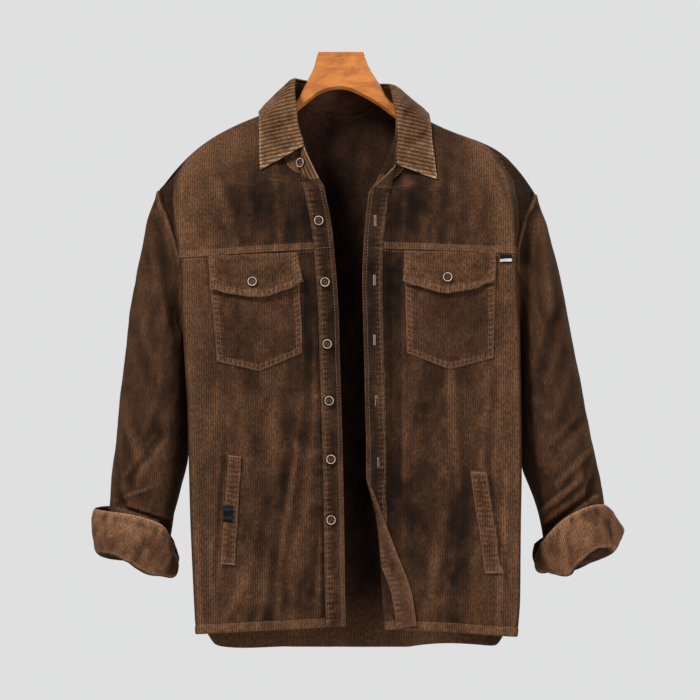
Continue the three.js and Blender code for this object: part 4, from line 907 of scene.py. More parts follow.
def make_collar():
    """Surfaces of the collar stand and the collar leaf."""
    parts = []
    for name, order in (("right", 1), ("left", -1)):
        s = SIDES[name]
        edge, _ = front_points(name, [s["neck"]], edge_columns(name, [s["neck"]], np.linspace(0, PLACKET, 9)))
        v = np.linspace(s["neck"], len(s["rows"][1]) - 1, 60)[1:]
        side, _ = front_points(name, v, edge_columns(name, v, np.array([0.0])))
        parts.append(np.concatenate([edge[0], side[:, 0]])[::order])
    top = np.array([len(BACK_RIGHT[1]) - 1.0])
    right, left = back_half("right", top)[0][16:0:-1], back_half("left", top)[0][:17]
    neck = np.concatenate([parts[0][:-1], right, left, parts[1][1:]])
    reach = np.concatenate([[0], np.cumsum(length(np.diff(neck, axis=0)))])
    even = np.linspace(0, reach[-1], 150)
    neck = np.stack([np.interp(even, reach, neck[:, c]) for c in range(3)], -1)
    c = between(COLLAR, even / reach[-1] * (len(COLLAR[1]) - 1))
    fold = np.stack([c["xf"], c["yf"], c["zf"]], -1)
    free = np.stack([c["xe"], c["ye"], c["ze"]], -1)
    t = np.linspace(0, 1, 14)[:, None, None]
    stand = Surface(neck[None] * (1 - t) + fold[None] * t, flip=True)
    d = stand.borders()
    stand.raise_by(pucker(d["first"], d["bottom"] - 3, 101, 0.4, 9, 8)).free("first", "last")

    start = fold + unit(fold - neck) * LEAF_START
    share = np.concatenate([[0, 0.012, 0.03, 0.05], np.linspace(0.07, 0.955, 26), [0.975, 0.988, 0.995, 1]])
    off = np.interp(share, LEAF[1][:, 0], LEAF[1][:, 1])
    off[:5] = np.sqrt(np.clip(share[:5] / 0.07, 0, 1)) * 3.8
    points = start[None] + (free - start)[None] * share[:, None, None] + stand.n[-1][None] * off[:, None, None]
    for name in SIDES:
        under, found = on_front(name, points[..., 0], points[..., 2] - LEAF_DROP)
        found &= points[..., 1] < 0
        limit = under - LEAF_CLEAR * smooth(share * 3)[:, None]
        points[..., 1] = np.where(found, np.minimum(points[..., 1], limit), points[..., 1])
    for _ in range(4):
        points[2:-1, 1:-1, 1] = (points[2:-1, 1:-1, 1] * 2 + points[2:-1, :-2, 1] + points[2:-1, 2:, 1]) / 4
    base = Surface(points)
    d = base.borders()
    relief = (1.2 * noise(d["first"] / 34, d["bottom"] / 40, 111)
              + 0.6 * noise(d["first"] / 12, d["bottom"] / 20, 112))
    relief *= smooth(d["bottom"] / 14)
    points = points + base.n * relief[..., None]
    # the wales run level in front, parallel to the leaf's short edges, and down from the fold behind
    place = np.linspace(0, 1, points.shape[1])
    behind = smooth((2 * np.minimum(place, 1 - place) - 0.4) / 0.35)[None, :]
    level = points[..., 2] + 0.2 * abs(points[..., 0])
    along = np.minimum(d["first"], d["last"]).mean(0)[None, :] + level[:, :1].mean()
    leaf = Surface(points, relief, across=level * (1 - behind) + along * behind)
    ends = np.minimum(d["first"], d["last"])
    leaf.raise_by(pucker(d["first"], d["top"] - 5, 113, 0.8, 9, 6)
                  + pucker(d["bottom"], ends - 5, 114, 0.8, 9, 6))
    leaf.raise_by(-0.5 * bell(np.minimum(d["top"], ends) - COLLAR_SEAM, 1.4) + 0.7)
    leaf.add_wear_and_light(0.35 * bell(np.minimum(d["top"], ends), 5))
    return {"collar_stand": stand, "collar": leaf.free("top", "first", "last")}


def on_front(name, x, z):
    """Depth y of a front where it is seen at x and z, and whether the front is there at all."""
    s = SIDES[name]
    shape = x.shape
    x, z = x.ravel(), z.ravel()
    low, high = np.zeros(len(x)), np.full(len(x), len(s["rows"][1]) - 1.0)
    for _ in range(24):
        v = (low + high) / 2
        point, station = front_at(name, v, x)
        low, high = np.where(point[:, 2] < z, v, low), np.where(point[:, 2] < z, high, v)
    found = (abs(point[:, 2] - z) < 1) & (station > -0.02) & (station < 1.02)
    return point[:, 1].reshape(shape), found.reshape(shape)


def front_at(name, v, x):
    """Point of a front in row v at x, and its station."""
    s = SIDES[name]
    r = between(s["rows"], v)
    f = front_section(r, s["side"])
    t = (x - f["start"][:, 0]) / (f["p"][:, 0] - f["start"][:, 0])
    point, _ = front_points(name, v, np.clip(t, 0, 1)[:, None])
    return point[:, 0], t


def laid(outline, lift, puff, seed, step=2.8, open_edge=None, gape=0.0, curved=0.0, worn=0.12):
    """Surface of a piece that lies on a front, within a five-cornered outline; its open edge stands off."""
    a, b, c, tip, e = (np.array(q, float) for q in outline)
    name = "right" if a[0] < 0 else "left"
    width, height = length(b - a), max(length(c - b), length(tip - (a + b) / 2))
    edges = np.array([0, 0.6, 1.6])
    count_u, count_v = max(3, int(width / step)), max(3, int(height / step))
    inset = 2.8
    u = np.concatenate([edges / width, np.linspace(inset / width, 1 - inset / width, count_u),
                        1 - edges[::-1] / width])
    v = np.concatenate([edges / height, np.linspace(inset / height, 1 - inset / height, count_v),
                        1 - edges[::-1] / height])
    middle = (tip - e) @ (c - e) / ((c - e) @ (c - e))
    low = np.where((u < middle)[:, None], e + (tip - e) * (u / middle)[:, None],
                   tip + (c - tip) * ((u - middle) / (1 - middle))[:, None])
    # a curved lower edge bulges between its corners and its point
    near_half = np.clip(u / middle, 0, 1)[:, None]
    far_half = np.clip((1 - u) / (1 - middle), 0, 1)[:, None]
    bow = np.where((u < middle)[:, None], e + (tip - e) * near_half * [1, 0],
                   c + (tip - c) * far_half * [1, 0])
    drop = np.where((u < middle)[:, None], (tip - e)[1] * np.sin(np.pi / 2 * near_half),
                    (tip - c)[1] * np.sin(np.pi / 2 * far_half))
    low = low * (1 - curved) + (bow + drop * [0, 1]) * curved
    high = a + (b - a) * u[:, None]
    flat = high[None] * (1 - v)[:, None, None] + low[None] * v[:, None, None]
    flat = flat[::-1]
    y, _ = on_front(name, flat[..., 0], flat[..., 1])
    points = np.stack([flat[..., 0], y, flat[..., 1]], -1)
    # seen from the front the columns run towards +X, so the outer side is the front
    base = Surface(points)
    d = base.borders()
    rim = np.minimum(np.minimum(d["first"], d["last"]), np.minimum(d["bottom"], d["top"]))
    x, z = points[..., 0], points[..., 2]
    relief = crinkle(x, z, 3 if name == "right" else 8, 1.5)
    swell = lift + puff * smooth(rim / 22) + pucker(d["bottom"], d["first"] - 3, seed, 1.0, 7, 9)
    swell += (pucker(d["bottom"], d["last"] - 3, seed + 1, 1.0, 7, 9)
              + pucker(d["first"], d["bottom"] - 3, seed + 2, 0.9, 8, 9))
    if open_edge:
        swell += gape * (1 - smooth(d[open_edge] / 26))
    swell = np.maximum(swell, lift * 0.6)
    points = points + base.n * swell[..., None]
    out = Surface(points, relief * 0.5 + swell - lift)
    out.uv = np.stack([abs(flat[..., 0]), flat[..., 1]], -1)
    out.raise_by(-0.3 * bell(rim - LAID_SEAMS[0], 0.9) - 0.25 * bell(rim - LAID_SEAMS[1], 1))
    rungs = np.maximum(ladder(d["bottom"], d["first"], seed + 3), ladder(d["bottom"], d["last"], seed + 4))
    rungs = np.maximum(rungs, ladder(d["first"], d["bottom"], seed + 5))
    out.raise_by(0.8 * rungs)
    out.add_wear_and_light(worn * (0.7 + 0.3 * noise(x / 13, z / 9, seed + 6) + 0.3 * noise(x / 5, z / 4, seed + 7)))
    # paler pile at the rim; painted highlights on the puffs between the stitch rows and painted shade between
    # the puffs, within 8 mm of the rim
    out.add_wear_and_light(0.2 * (1 - smooth((rim - 7) / 4)) + 0.5 * rungs)
    out.paint_shade(0.25 * (1 - smooth((rim - 8) / 2)) - 0.4 * rungs)
    return out.free("bottom", "top", "first", "last")


# Meshes

def cloth_object(name, surface, materials):
    """A thin shell on a surface, with its cloth coordinates, and as attributes its worn edges and paler pile
    with painted highlights and light, and its painted light and shade from the depth of fold.
    """
    s = surface
    rows, columns = s.p.shape[:2]
    rounding = np.sqrt(1 - (1 - np.clip((s.edge + 0.25) / 2.2, 0, 1)) ** 2)
    out = CLOTH / 2 * rounding + s.outer * np.clip(s.edge / 2, 0, 1)
    back = -CLOTH / 2 * rounding
    points = np.concatenate([(s.p + s.n * side[..., None]).reshape(-1, 3) for side in (out, back)])
    i, j = np.nonzero(s.cells)
    a, b = i * columns + j, i * columns + (j + 1) % columns
    c, d = b + columns, a + columns
    half = rows * columns
    front = np.stack([a, b, c, d], 1)
    faces = [front, np.stack([a, d, c, b], 1) + half]
    grid_uv = [np.stack([s.uv[i, j], s.uv[i, j + 1], s.uv[i + 1, j + 1], s.uv[i + 1, j]], 1)]
    grid_uv.append(grid_uv[0][:, [0, 3, 2, 1]])
    tall = np.pad(s.cells, ((1, 1), (0, 0)))
    wide = np.pad(s.cells, ((0, 0), (1, 1)), mode="wrap") if s.wrap else np.pad(s.cells, ((0, 0), (1, 1)))
    # rims close the shell wherever a cell has no neighbour: below, above, before and after it
    for missing, steps in ((~tall[:-2], (0, 0, 0, 1)), (~tall[2:], (1, 1, 1, 0)),
                           (~wide[:, :-2], (1, 0, 0, 0)), (~wide[:, 2:], (0, 1, 1, 1))):
        i, j = np.nonzero(s.cells & missing)
        i0, j0, i1, j1 = i + steps[0], j + steps[1], i + steps[2], j + steps[3]
        p, q = i0 * columns + j0 % columns, i1 * columns + j1 % columns
        faces.append(np.stack([p + half, q + half, q, p], 1))
        grid_uv.append(np.stack([s.uv[i0, j0], s.uv[i1, j1], s.uv[i1, j1], s.uv[i0, j0]], 1))
    faces = np.concatenate(faces)
    uv = np.concatenate(grid_uv)
    used, faces = np.unique(faces, return_inverse=True)
    faces = faces.reshape(-1, 4)
    if s.flip:
        faces, uv = faces[:, ::-1], uv[:, ::-1]
    mesh = bpy.data.meshes.new(name)
    mesh.from_pydata((points[used] * MM).tolist(), [], faces.tolist())
    layer = mesh.uv_layers.new(name="cloth")
    layer.data.foreach_set("uv", (uv.reshape(-1, 2) * MM).ravel())
    for material in materials:
        mesh.materials.append(material)
    index = np.zeros(len(faces), int)
    index[len(front):2 * len(front)] = len(materials) - 1
    mesh.polygons.foreach_set("material_index", index)
    # worn edges and paler pile, with the painted highlights among them and painted light on the inner side;
    # then painted light and shade from the relief: paler where it bulges, darker in hollows and wherever
    # painted shade was added
    worn = np.exp(-np.clip(s.edge, 0, 50) / 1.6) + s.paler_pile
    curve = s.relief - blurred(s.relief, s.wrap, 5)
    broad = s.relief - blurred(s.relief, s.wrap, 40)
    relief_light_shade = np.clip(0.5 + curve * 0.4 + broad * 0.1 - s.shade, 0, 1)
    for key, values in (("wear_and_light", [worn, worn + s.inside_painted_light]), ("painted_light_shade", [relief_light_shade, relief_light_shade])):
        attribute = mesh.attributes.new(key, "FLOAT", "POINT")
        attribute.data.foreach_set("value", np.clip(np.ravel(values), 0, 1)[used].astype(np.float32))
    mesh.update()
    mesh.shade_smooth()
    piece = bpy.data.objects.new(name, mesh)
    bpy.context.collection.objects.link(piece)
    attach(piece, "root")
    return piece


def blurred(field, wrap, times):
    """A field averaged with its neighbours along both axes."""
    out = field.copy()
    for _ in range(times):
        side = np.pad(out, ((1, 1), (0, 0)), mode="edge")
        out = (side[:-2] + 2 * out + side[2:]) / 4
        side = np.pad(out, ((0, 0), (1, 1)), mode="wrap" if wrap else "edge")
        out = (side[:, :-2] + 2 * out + side[:, 2:]) / 4
    return out


def thread_mesh(name, runs, length_mm, gap, radius, material):
    """Stitches along lines: short rounded threads, one after another, as one mesh."""
    sides = 6
    turn = np.arange(sides) * 2 * np.pi / sides
    stations = np.array([0.0, 0.12, 0.5, 0.88, 1.0])
    widths = np.array([0.25, 0.85, 1.0, 0.85, 0.25])
    points, faces = [], []
    for p, n in runs:
        if len(p) < 2:
            continue
        reach = np.concatenate([[0], np.cumsum(length(np.diff(p, axis=0)))])
        starts = np.arange(0, reach[-1] - length_mm * 0.99, length_mm + gap)
        for begin in starts:
            at = begin + stations * length_mm
            c = np.stack([np.interp(at, reach, p[:, k]) for k in range(3)], -1)
            m = unit(np.stack([np.interp(at, reach, n[:, k]) for k in range(3)], -1))
            along = unit(c[-1] - c[0])
            across = unit(np.cross(along, m[2]))
            lift = (radius * 0.55 * np.array([-0.9, 0.1, 0.5, 0.1, -0.9]))[:, None]
            c = c + m * lift
            ring = (c[:, None] + across * (np.cos(turn)[None, :, None] * widths[:, None, None] * radius)
                    + m[2] * (np.sin(turn)[None, :, None] * widths[:, None, None] * radius))
            base = len(points) * sides * len(stations)
            points.append(ring.reshape(-1, 3))
            for k in range(len(stations) - 1):
                for t in range(sides):
                    a, b = base + k * sides + t, base + k * sides + (t + 1) % sides
                    faces.append((b, a, a + sides, b + sides))
            faces.append(tuple(base + t for t in range(sides)))
            faces.append(tuple(base + (len(stations) - 1) * sides + t for t in range(sides))[::-1])
    mesh = bpy.data.meshes.new(name)
    mesh.from_pydata((np.concatenate(points) * MM).tolist(), [], faces)
    mesh.materials.append(material)
    mesh.update()
    mesh.shade_smooth()
    piece = bpy.data.objects.new(name, mesh)
    bpy.context.collection.objects.link(piece)
    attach(piece, "root")
    return piece


# Materials

def linear(colour):
    """An sRGB hex colour as linear RGBA."""
    channels = [int(colour[k:k + 2], 16) / 255 for k in (1, 3, 5)]
    return tuple(c / 12.92 if c <= 0.04045 else ((c + 0.055) / 1.055) ** 2.4 for c in channels) + (1.0,)


def node(tree, kind, inputs=None, **settings):
    """Adds one node: settings are its properties; inputs are linked where they are sockets, else set."""
    made = tree.nodes.new(kind)
    for key, value in settings.items():
        setattr(made, key, value)
    for key, value in (inputs or {}).items():
        if isinstance(value, bpy.types.NodeSocket):
            tree.links.new(value, made.inputs[key])
        else:
            made.inputs[key].default_value = value
    return made


def new_material(name):
    """An empty material with its node tree and output."""
    material = bpy.data.materials.new(name)
    material.use_nodes = True
    tree = material.node_tree
    tree.nodes.clear()
    return material, tree, tree.nodes.new("ShaderNodeOutputMaterial")


def corduroy_material(name, settings, base, worn, dark, relief=1.0, inside=False, pitch=1.0):
    """Cotton corduroy, wales cut and brushed: painted shade between the wales, paler where their tops are
    worn, plus the painted light and shade that the cloth's attributes carry.
    """
    material, tree, output = new_material(name)
    cloth = node(tree, "ShaderNodeUVMap", uv_map="cloth").outputs[0]
    place = node(tree, "ShaderNodeTexCoord").outputs["Object"]
    split = node(tree, "ShaderNodeSeparateXYZ", {0: cloth})
    drift = node(tree, "ShaderNodeTexNoise", {"Vector": cloth, "Scale": 26.0, "Detail": 1.0})
    shift = node(tree, "ShaderNodeMath", {0: drift.outputs[0], 1: 0.0011}, operation="MULTIPLY")
    moved = node(tree, "ShaderNodeMath", {0: split.outputs[0], 1: shift.outputs[0]}, operation="ADD")
    # one wale and its groove are 3 mm wide, as counted on the photographed cloth
    phase = node(tree, "ShaderNodeMath", {0: moved.outputs[0], 1: 2 * math.pi / (settings.wale_pitch * pitch)},
                 operation="MULTIPLY")
    wave = node(tree, "ShaderNodeMath", {0: phase.outputs[0]}, operation="SINE")
    wale = node(tree, "ShaderNodeMapRange", {"Value": wave.outputs[0], "From Min": -0.95, "From Max": 0.35},
                interpolation_type="SMOOTHSTEP")
    # pile tufts, longer along the wale; 0.8 mm instead of the real 0.3 mm so that they show at this distance
    stretch = node(tree, "ShaderNodeMapping", {"Vector": cloth, "Scale": (1.0, 0.5, 1.0)})
    tufts = node(tree, "ShaderNodeTexNoise", {"Vector": stretch.outputs[0], "Scale": 1250.0, "Detail": 2.0,
                                              "Roughness": 0.6})
    pile = node(tree, "ShaderNodeMapRange", {"Value": tufts.outputs[0], "From Min": 0.3, "From Max": 0.7})
    # rubbed specks of 2 to 4 mm
    specks = node(tree, "ShaderNodeTexNoise", {"Vector": stretch.outputs[0], "Scale": 420.0, "Detail": 3.0,
                                               "Roughness": 0.7})
    paler_pile = node(tree, "ShaderNodeMapRange", {"Value": specks.outputs[0], "From Min": 0.38, "From Max": 0.72})
    # washed patches: uneven, drawn out along the wales
    long_map = node(tree, "ShaderNodeMapping", {"Vector": cloth, "Scale": (1.0, 0.55, 1.0)})
    patches = node(tree, "ShaderNodeTexNoise", {"Vector": long_map.outputs[0], "Scale": 34.0, "Detail": 4.0,
                                                "Roughness": 0.6})
    washed = node(tree, "ShaderNodeMapRange", {"Value": patches.outputs[0], "From Min": 0.34, "From Max": 0.7})
    clouds = node(tree, "ShaderNodeTexNoise", {"Vector": place, "Scale": 19.0, "Detail": 3.0,
                                               "Roughness": 0.55})
    broad = node(tree, "ShaderNodeMapRange", {"Value": clouds.outputs[0], "From Min": 0.34, "From Max": 0.66,
                                              "To Min": 0.0, "To Max": 1.0})
    painted_light_shade = node(tree, "ShaderNodeAttribute", attribute_name="painted_light_shade").outputs["Fac"]
    wear_and_light = node(tree, "ShaderNodeAttribute", attribute_name="wear_and_light").outputs["Fac"]
    # pale pile: a painted highlight on raised places, in washed patches, where the cloth is worn and where
    # highlights are painted
    high = node(tree, "ShaderNodeMapRange", {"Value": painted_light_shade, "From Min": 0.45, "From Max": 1.0, "To Max": 0.5})
    mixed = node(tree, "ShaderNodeMath", {0: washed.outputs[0], 1: broad.outputs[0]}, operation="MULTIPLY")
    mixed = node(tree, "ShaderNodeMath", {0: mixed.outputs[0], 1: 0.5, 2: high.outputs[0]},
                 operation="MULTIPLY_ADD")
    edges = node(tree, "ShaderNodeMath", {0: wear_and_light, 1: 0.8, 2: mixed.outputs[0]}, operation="MULTIPLY_ADD")
    grain = node(tree, "ShaderNodeMapRange", {"Value": paler_pile.outputs[0], "To Min": 0.35, "To Max": 1.25})
    spotted = node(tree, "ShaderNodeMath", {0: edges.outputs[0], 1: grain.outputs[0]}, operation="MULTIPLY")
    tops = node(tree, "ShaderNodeMapRange", {"Value": wale.outputs[0], "To Min": 0.3 if pitch > 1 else 0.6,
                                             "To Max": 1.0})
    # share of pale pile: worn wale tops, worn edges and painted highlights
    faded = node(tree, "ShaderNodeMath", {0: spotted.outputs[0], 1: tops.outputs[0]}, operation="MULTIPLY",
                 use_clamp=True)
    # painted shade in hollows and between the wales, and darker unwashed patches
    hollow = node(tree, "ShaderNodeMapRange", {"Value": painted_light_shade, "From Min": 0.0, "From Max": 0.5, "To Min": 0.8,
                                               "To Max": 0.0})
    deep = node(tree, "ShaderNodeMapRange", {"Value": clouds.outputs[0], "From Min": 0.34, "From Max": 0.56,
                                             "To Min": 0.22, "To Max": 0.0})
    groove = node(tree, "ShaderNodeMapRange", {"Value": wale.outputs[0], "To Min": 0.6 if pitch > 1 else 0.3,
                                               "To Max": 0.0})
    shade = node(tree, "ShaderNodeMath", {0: groove.outputs[0], 1: hollow.outputs[0]}, operation="ADD")
    shade = node(tree, "ShaderNodeMath", {0: shade.outputs[0], 1: deep.outputs[0]}, operation="ADD",
                 use_clamp=True)
    fine = node(tree, "ShaderNodeMapRange", {"Value": specks.outputs[0], "From Min": 0.3, "From Max": 0.7,
                                             "To Min": 0.5, "To Max": 1.5})
    ground = node(tree, "ShaderNodeMix", {0: 1.0, 6: linear(base), 7: fine.outputs[0]}, data_type="RGBA",
                  blend_type="MULTIPLY")
    body = node(tree, "ShaderNodeMix", {0: shade.outputs[0], 6: ground.outputs[2], 7: linear(dark)},
                data_type="RGBA")
    colour = node(tree, "ShaderNodeMix", {0: faded.outputs[0], 6: body.outputs[2], 7: linear(worn)},
                  data_type="RGBA")
    rough = node(tree, "ShaderNodeMapRange", {"Value": pile.outputs[0], "To Min": 0.8, "To Max": 0.98})
    height = node(tree, "ShaderNodeMath", {0: pile.outputs[0], 1: 0.22, 2: wale.outputs[0]},
                  operation="MULTIPLY_ADD")
    strength = 0.35 if inside else 0.8 * relief
    bump = node(tree, "ShaderNodeBump", {"Height": height.outputs[0], "Strength": strength,
                                         "Distance": settings.wale_depth})
    shader = node(tree, "ShaderNodeBsdfPrincipled", {
        "Base Color": colour.outputs[2], "Roughness": rough.outputs[0], "Normal": bump.outputs[0],
        "Specular IOR Level": 0.12, "Sheen Weight": 0.04 if inside else 0.1, "Sheen Roughness": 0.4,
        "Sheen Tint": linear("#b0804e")})
    tree.links.new(shader.outputs[0], output.inputs[0])
    return material


def thread_material(name, colour):
    """Spun polyester sewing thread: a soft twist with a slight gloss."""
    material, tree, output = new_material(name)
    place = node(tree, "ShaderNodeTexCoord").outputs["Object"]
    twist = node(tree, "ShaderNodeTexNoise", {"Vector": place, "Scale": 900.0, "Detail": 1.0})
    tone = node(tree, "ShaderNodeMapRange", {"Value": twist.outputs[0], "To Min": 0.7, "To Max": 1.2})
    tinted = node(tree, "ShaderNodeMix", {0: 1.0, 6: linear(colour), 7: tone.outputs[0]}, data_type="RGBA",
                  blend_type="MULTIPLY")
    bump = node(tree, "ShaderNodeBump", {"Height": twist.outputs[0], "Strength": 0.4, "Distance": 0.0002})
    shader = node(tree, "ShaderNodeBsdfPrincipled", {
        "Base Color": tinted.outputs[2], "Roughness": 0.55, "Normal": bump.outputs[0],
        "Specular IOR Level": 0.35, "Sheen Weight": 0.2})
    tree.links.new(shader.outputs[0], output.inputs[0])
    return material


def wood_material(name, colour, grain):
    """Lacquered beech: long fine grain under a smooth clear coat."""
    material, tree, output = new_material(name)
    place = node(tree, "ShaderNodeTexCoord").outputs["Object"]
    along = node(tree, "ShaderNodeMapping", {"Vector": place, "Scale": (14.0, 40.0, 40.0)})
    rings = node(tree, "ShaderNodeTexNoise", {"Vector": along.outputs[0], "Scale": 1.6, "Detail": 6.0,
                                              "Roughness": 0.6, "Distortion": 0.6})
    flecks = node(tree, "ShaderNodeMapping", {"Vector": place, "Scale": (60.0, 700.0, 700.0)})
    pores = node(tree, "ShaderNodeTexNoise", {"Vector": flecks.outputs[0], "Scale": 1.0, "Detail": 2.0})
    lines = node(tree, "ShaderNodeMapRange", {"Value": rings.outputs[0], "From Min": 0.4, "From Max": 0.6})
    dots = node(tree, "ShaderNodeMapRange", {"Value": pores.outputs[0], "From Min": 0.55, "From Max": 0.75,
                                             "To Max": 0.35})
    amount = node(tree, "ShaderNodeMath", {0: lines.outputs[0], 1: 0.75, 2: dots.outputs[0]},
                  operation="MULTIPLY_ADD", use_clamp=True)
    tone = node(tree, "ShaderNodeMix", {0: amount.outputs[0], 6: linear(colour), 7: linear(grain)},
                data_type="RGBA")
    bump = node(tree, "ShaderNodeBump", {"Height": pores.outputs[0], "Strength": 0.12, "Distance": 0.0003})
    shader = node(tree, "ShaderNodeBsdfPrincipled", {
        "Base Color": tone.outputs[2], "Roughness": 0.42, "Normal": bump.outputs[0], "Coat Weight": 0.4,
        "Coat Roughness": 0.25, "IOR": 1.5})
    tree.links.new(shader.outputs[0], output.inputs[0])
    return material


def horn_material(name, colour, streak):
    """Moulded resin made to look like horn: cloudy streaks under a low polish."""
    material, tree, output = new_material(name)
    place = node(tree, "ShaderNodeTexCoord").outputs["Object"]
    flow = node(tree, "ShaderNodeMapping", {"Vector": place, "Scale": (1.0, 1.0, 3.0)})
    cloud = node(tree, "ShaderNodeTexNoise", {"Vector": flow.outputs[0], "Scale": 150.0, "Detail": 3.0,
                                              "Distortion": 1.2})
    mask = node(tree, "ShaderNodeMapRange", {"Value": cloud.outputs[0], "From Min": 0.4, "From Max": 0.62})
    tone = node(tree, "ShaderNodeMix", {0: mask.outputs[0], 6: linear(colour), 7: linear(streak)},
                data_type="RGBA")
    rough = node(tree, "ShaderNodeMapRange", {"Value": cloud.outputs[0], "To Min": 0.42, "To Max": 0.6})
    shader = node(tree, "ShaderNodeBsdfPrincipled", {
        "Base Color": tone.outputs[2], "Roughness": rough.outputs[0], "IOR": 1.54, "Specular IOR Level": 0.3})
    tree.links.new(shader.outputs[0], output.inputs[0])
    return material


def label_material(name, ground, bar):
    """Woven damask tape: fine cross weave with plain bars."""
    material, tree, output = new_material(name)
    cloth = node(tree, "ShaderNodeUVMap", uv_map="cloth").outputs[0]
    split = node(tree, "ShaderNodeSeparateXYZ", {0: cloth})
    # threads 0.5 mm apart, coarser than the real 0.2 mm so that they show
    weft = node(tree, "ShaderNodeMath", {0: split.outputs[1], 1: 2 * math.pi / 0.0005}, operation="MULTIPLY")
    wave = node(tree, "ShaderNodeMath", {0: weft.outputs[0]}, operation="SINE")
    bars = node(tree, "ShaderNodeMath", {0: split.outputs[1], 1: 2 * math.pi / 0.011}, operation="MULTIPLY")
    level = node(tree, "ShaderNodeMath", {0: bars.outputs[0]}, operation="SINE")
    mask = node(tree, "ShaderNodeMapRange", {"Value": level.outputs[0], "From Min": 0.45, "From Max": 0.6})
    tone = node(tree, "ShaderNodeMix", {0: mask.outputs[0], 6: linear(ground), 7: linear(bar)},
                data_type="RGBA")
    bump = node(tree, "ShaderNodeBump", {"Height": wave.outputs[0], "Strength": 0.4, "Distance": 0.0001})
    shader = node(tree, "ShaderNodeBsdfPrincipled", {
        "Base Color": tone.outputs[2], "Roughness": 0.75, "Normal": bump.outputs[0],
        "Specular IOR Level": 0.15})
    tree.links.new(shader.outputs[0], output.inputs[0])
    return material


def floor_material(name, colour):
    """Matt painted studio floor: even, with a very soft mottle."""
    material, tree, output = new_material(name)
    place = node(tree, "ShaderNodeTexCoord").outputs["Object"]
    mottle = node(tree, "ShaderNodeTexNoise", {"Vector": place, "Scale": 3.0, "Detail": 2.0})
    tone = node(tree, "ShaderNodeMapRange", {"Value": mottle.outputs[0], "To Min": 0.97, "To Max": 1.03})
    tinted = node(tree, "ShaderNodeMix", {0: 1.0, 6: linear(colour), 7: tone.outputs[0]}, data_type="RGBA",
                  blend_type="MULTIPLY")
    shader = node(tree, "ShaderNodeBsdfPrincipled", {"Base Color": tinted.outputs[2], "Roughness": 0.9})
    tree.links.new(shader.outputs[0], output.inputs[0])
    return material


# Settings, operators and panel

class JacketSettings(bpy.types.PropertyGroup):
    """Sizes and colours of the jacket that a user may change."""

    wale_pitch: bpy.props.FloatProperty(
        name="Wale pitch", description="Distance from one wale to the next", default=0.003, min=0.0005,
        max=0.01, unit="LENGTH")
    wale_depth: bpy.props.FloatProperty(
        name="Wale depth", description="Depth of the grooves between wales", default=0.0006, min=0.0,
        max=0.003, unit="LENGTH")
    stitch_length: bpy.props.FloatProperty(
        name="Stitch length", description="Length of one top stitch", default=0.003, min=0.001, max=0.008,
        unit="LENGTH")
    button_radius: bpy.props.FloatProperty(
        name="Button radius", description="Radius of the front and flap buttons", default=0.0068, min=0.004,
        max=0.015, unit="LENGTH")
    cloth_colour: bpy.props.StringProperty(
        name="Cloth colour", description="sRGB hex colour of the corduroy", default="#352012")
    # colour of worn wale tops, which the painted highlights use too
    worn_and_highlight_colour: bpy.props.StringProperty(
        name="Worn colour", description="sRGB hex colour of worn wale tops", default="#7a563c")
    cuff_colour: bpy.props.StringProperty(
        name="Cuff colour", description="sRGB hex colour of the turned-back cuffs", default="#785036")
    collar_colour: bpy.props.StringProperty(
        name="Collar colour", description="sRGB hex colour of the collar leaf", default="#664429")
    wood_colour: bpy.props.StringProperty(
        name="Wood colour", description="sRGB hex colour of the hanger", default="#cf7d34")


def materials_of(settings):
    """The materials by name, made once."""
    found = bpy.data.materials.get("cotton_corduroy_brushed")
    if found is None:
        dark = "#150b06"
        cloth, worn = settings.cloth_colour, settings.worn_and_highlight_colour
        cuff, collar = settings.cuff_colour, settings.collar_colour
        corduroy_material("cotton_corduroy_brushed", settings, cloth, worn, dark)
        # The inner side of the cloth in two copies: a dark one, painted shade, for the inside of the jacket,
        # and a paler lit one for the turned-back front and strip
        corduroy_material("cotton_corduroy_inside", settings, "#2c1b10", "#6a4a33", dark, inside=True)
        corduroy_material("cotton_corduroy_turned", settings, "#4f3323", "#7c5842", dark, 0.5)
        corduroy_material("cotton_corduroy_faded", settings, cuff, "#b58a68", "#1c100a", 1.2)
        # the collar's wales are drawn 5.1 mm apart, coarser than the 3 to 4 mm that the photo shows there,
        # so that they show at this distance
        corduroy_material("cotton_corduroy_collar", settings, collar, "#c59d7a", dark, 2.0, pitch=1.7)
        thread_material("polyester_thread_brown", "#7a5a42")
        thread_material("polyester_thread_tan", "#a98e74")
        # painted shadow in the cut of each buttonhole
        thread_material("slit_painted_shadow", "#1c120c")
        wood_material("lacquered_beech_wood", settings.wood_colour, "#94501f")
        horn_material("moulded_horn_resin", "#c9a78f", "#a58068")
        horn_material("moulded_horn_resin_dark", "#100906", "#080403")
        label_material("woven_polyester_tape_black", "#08080a", "#1d1d20")
        label_material("woven_polyester_tape_pale", "#0b0b0d", "#c9c7c2")
        floor_material("matt_studio_paint", "#bcbcbc")
    return bpy.data.materials


SURFACES = {}


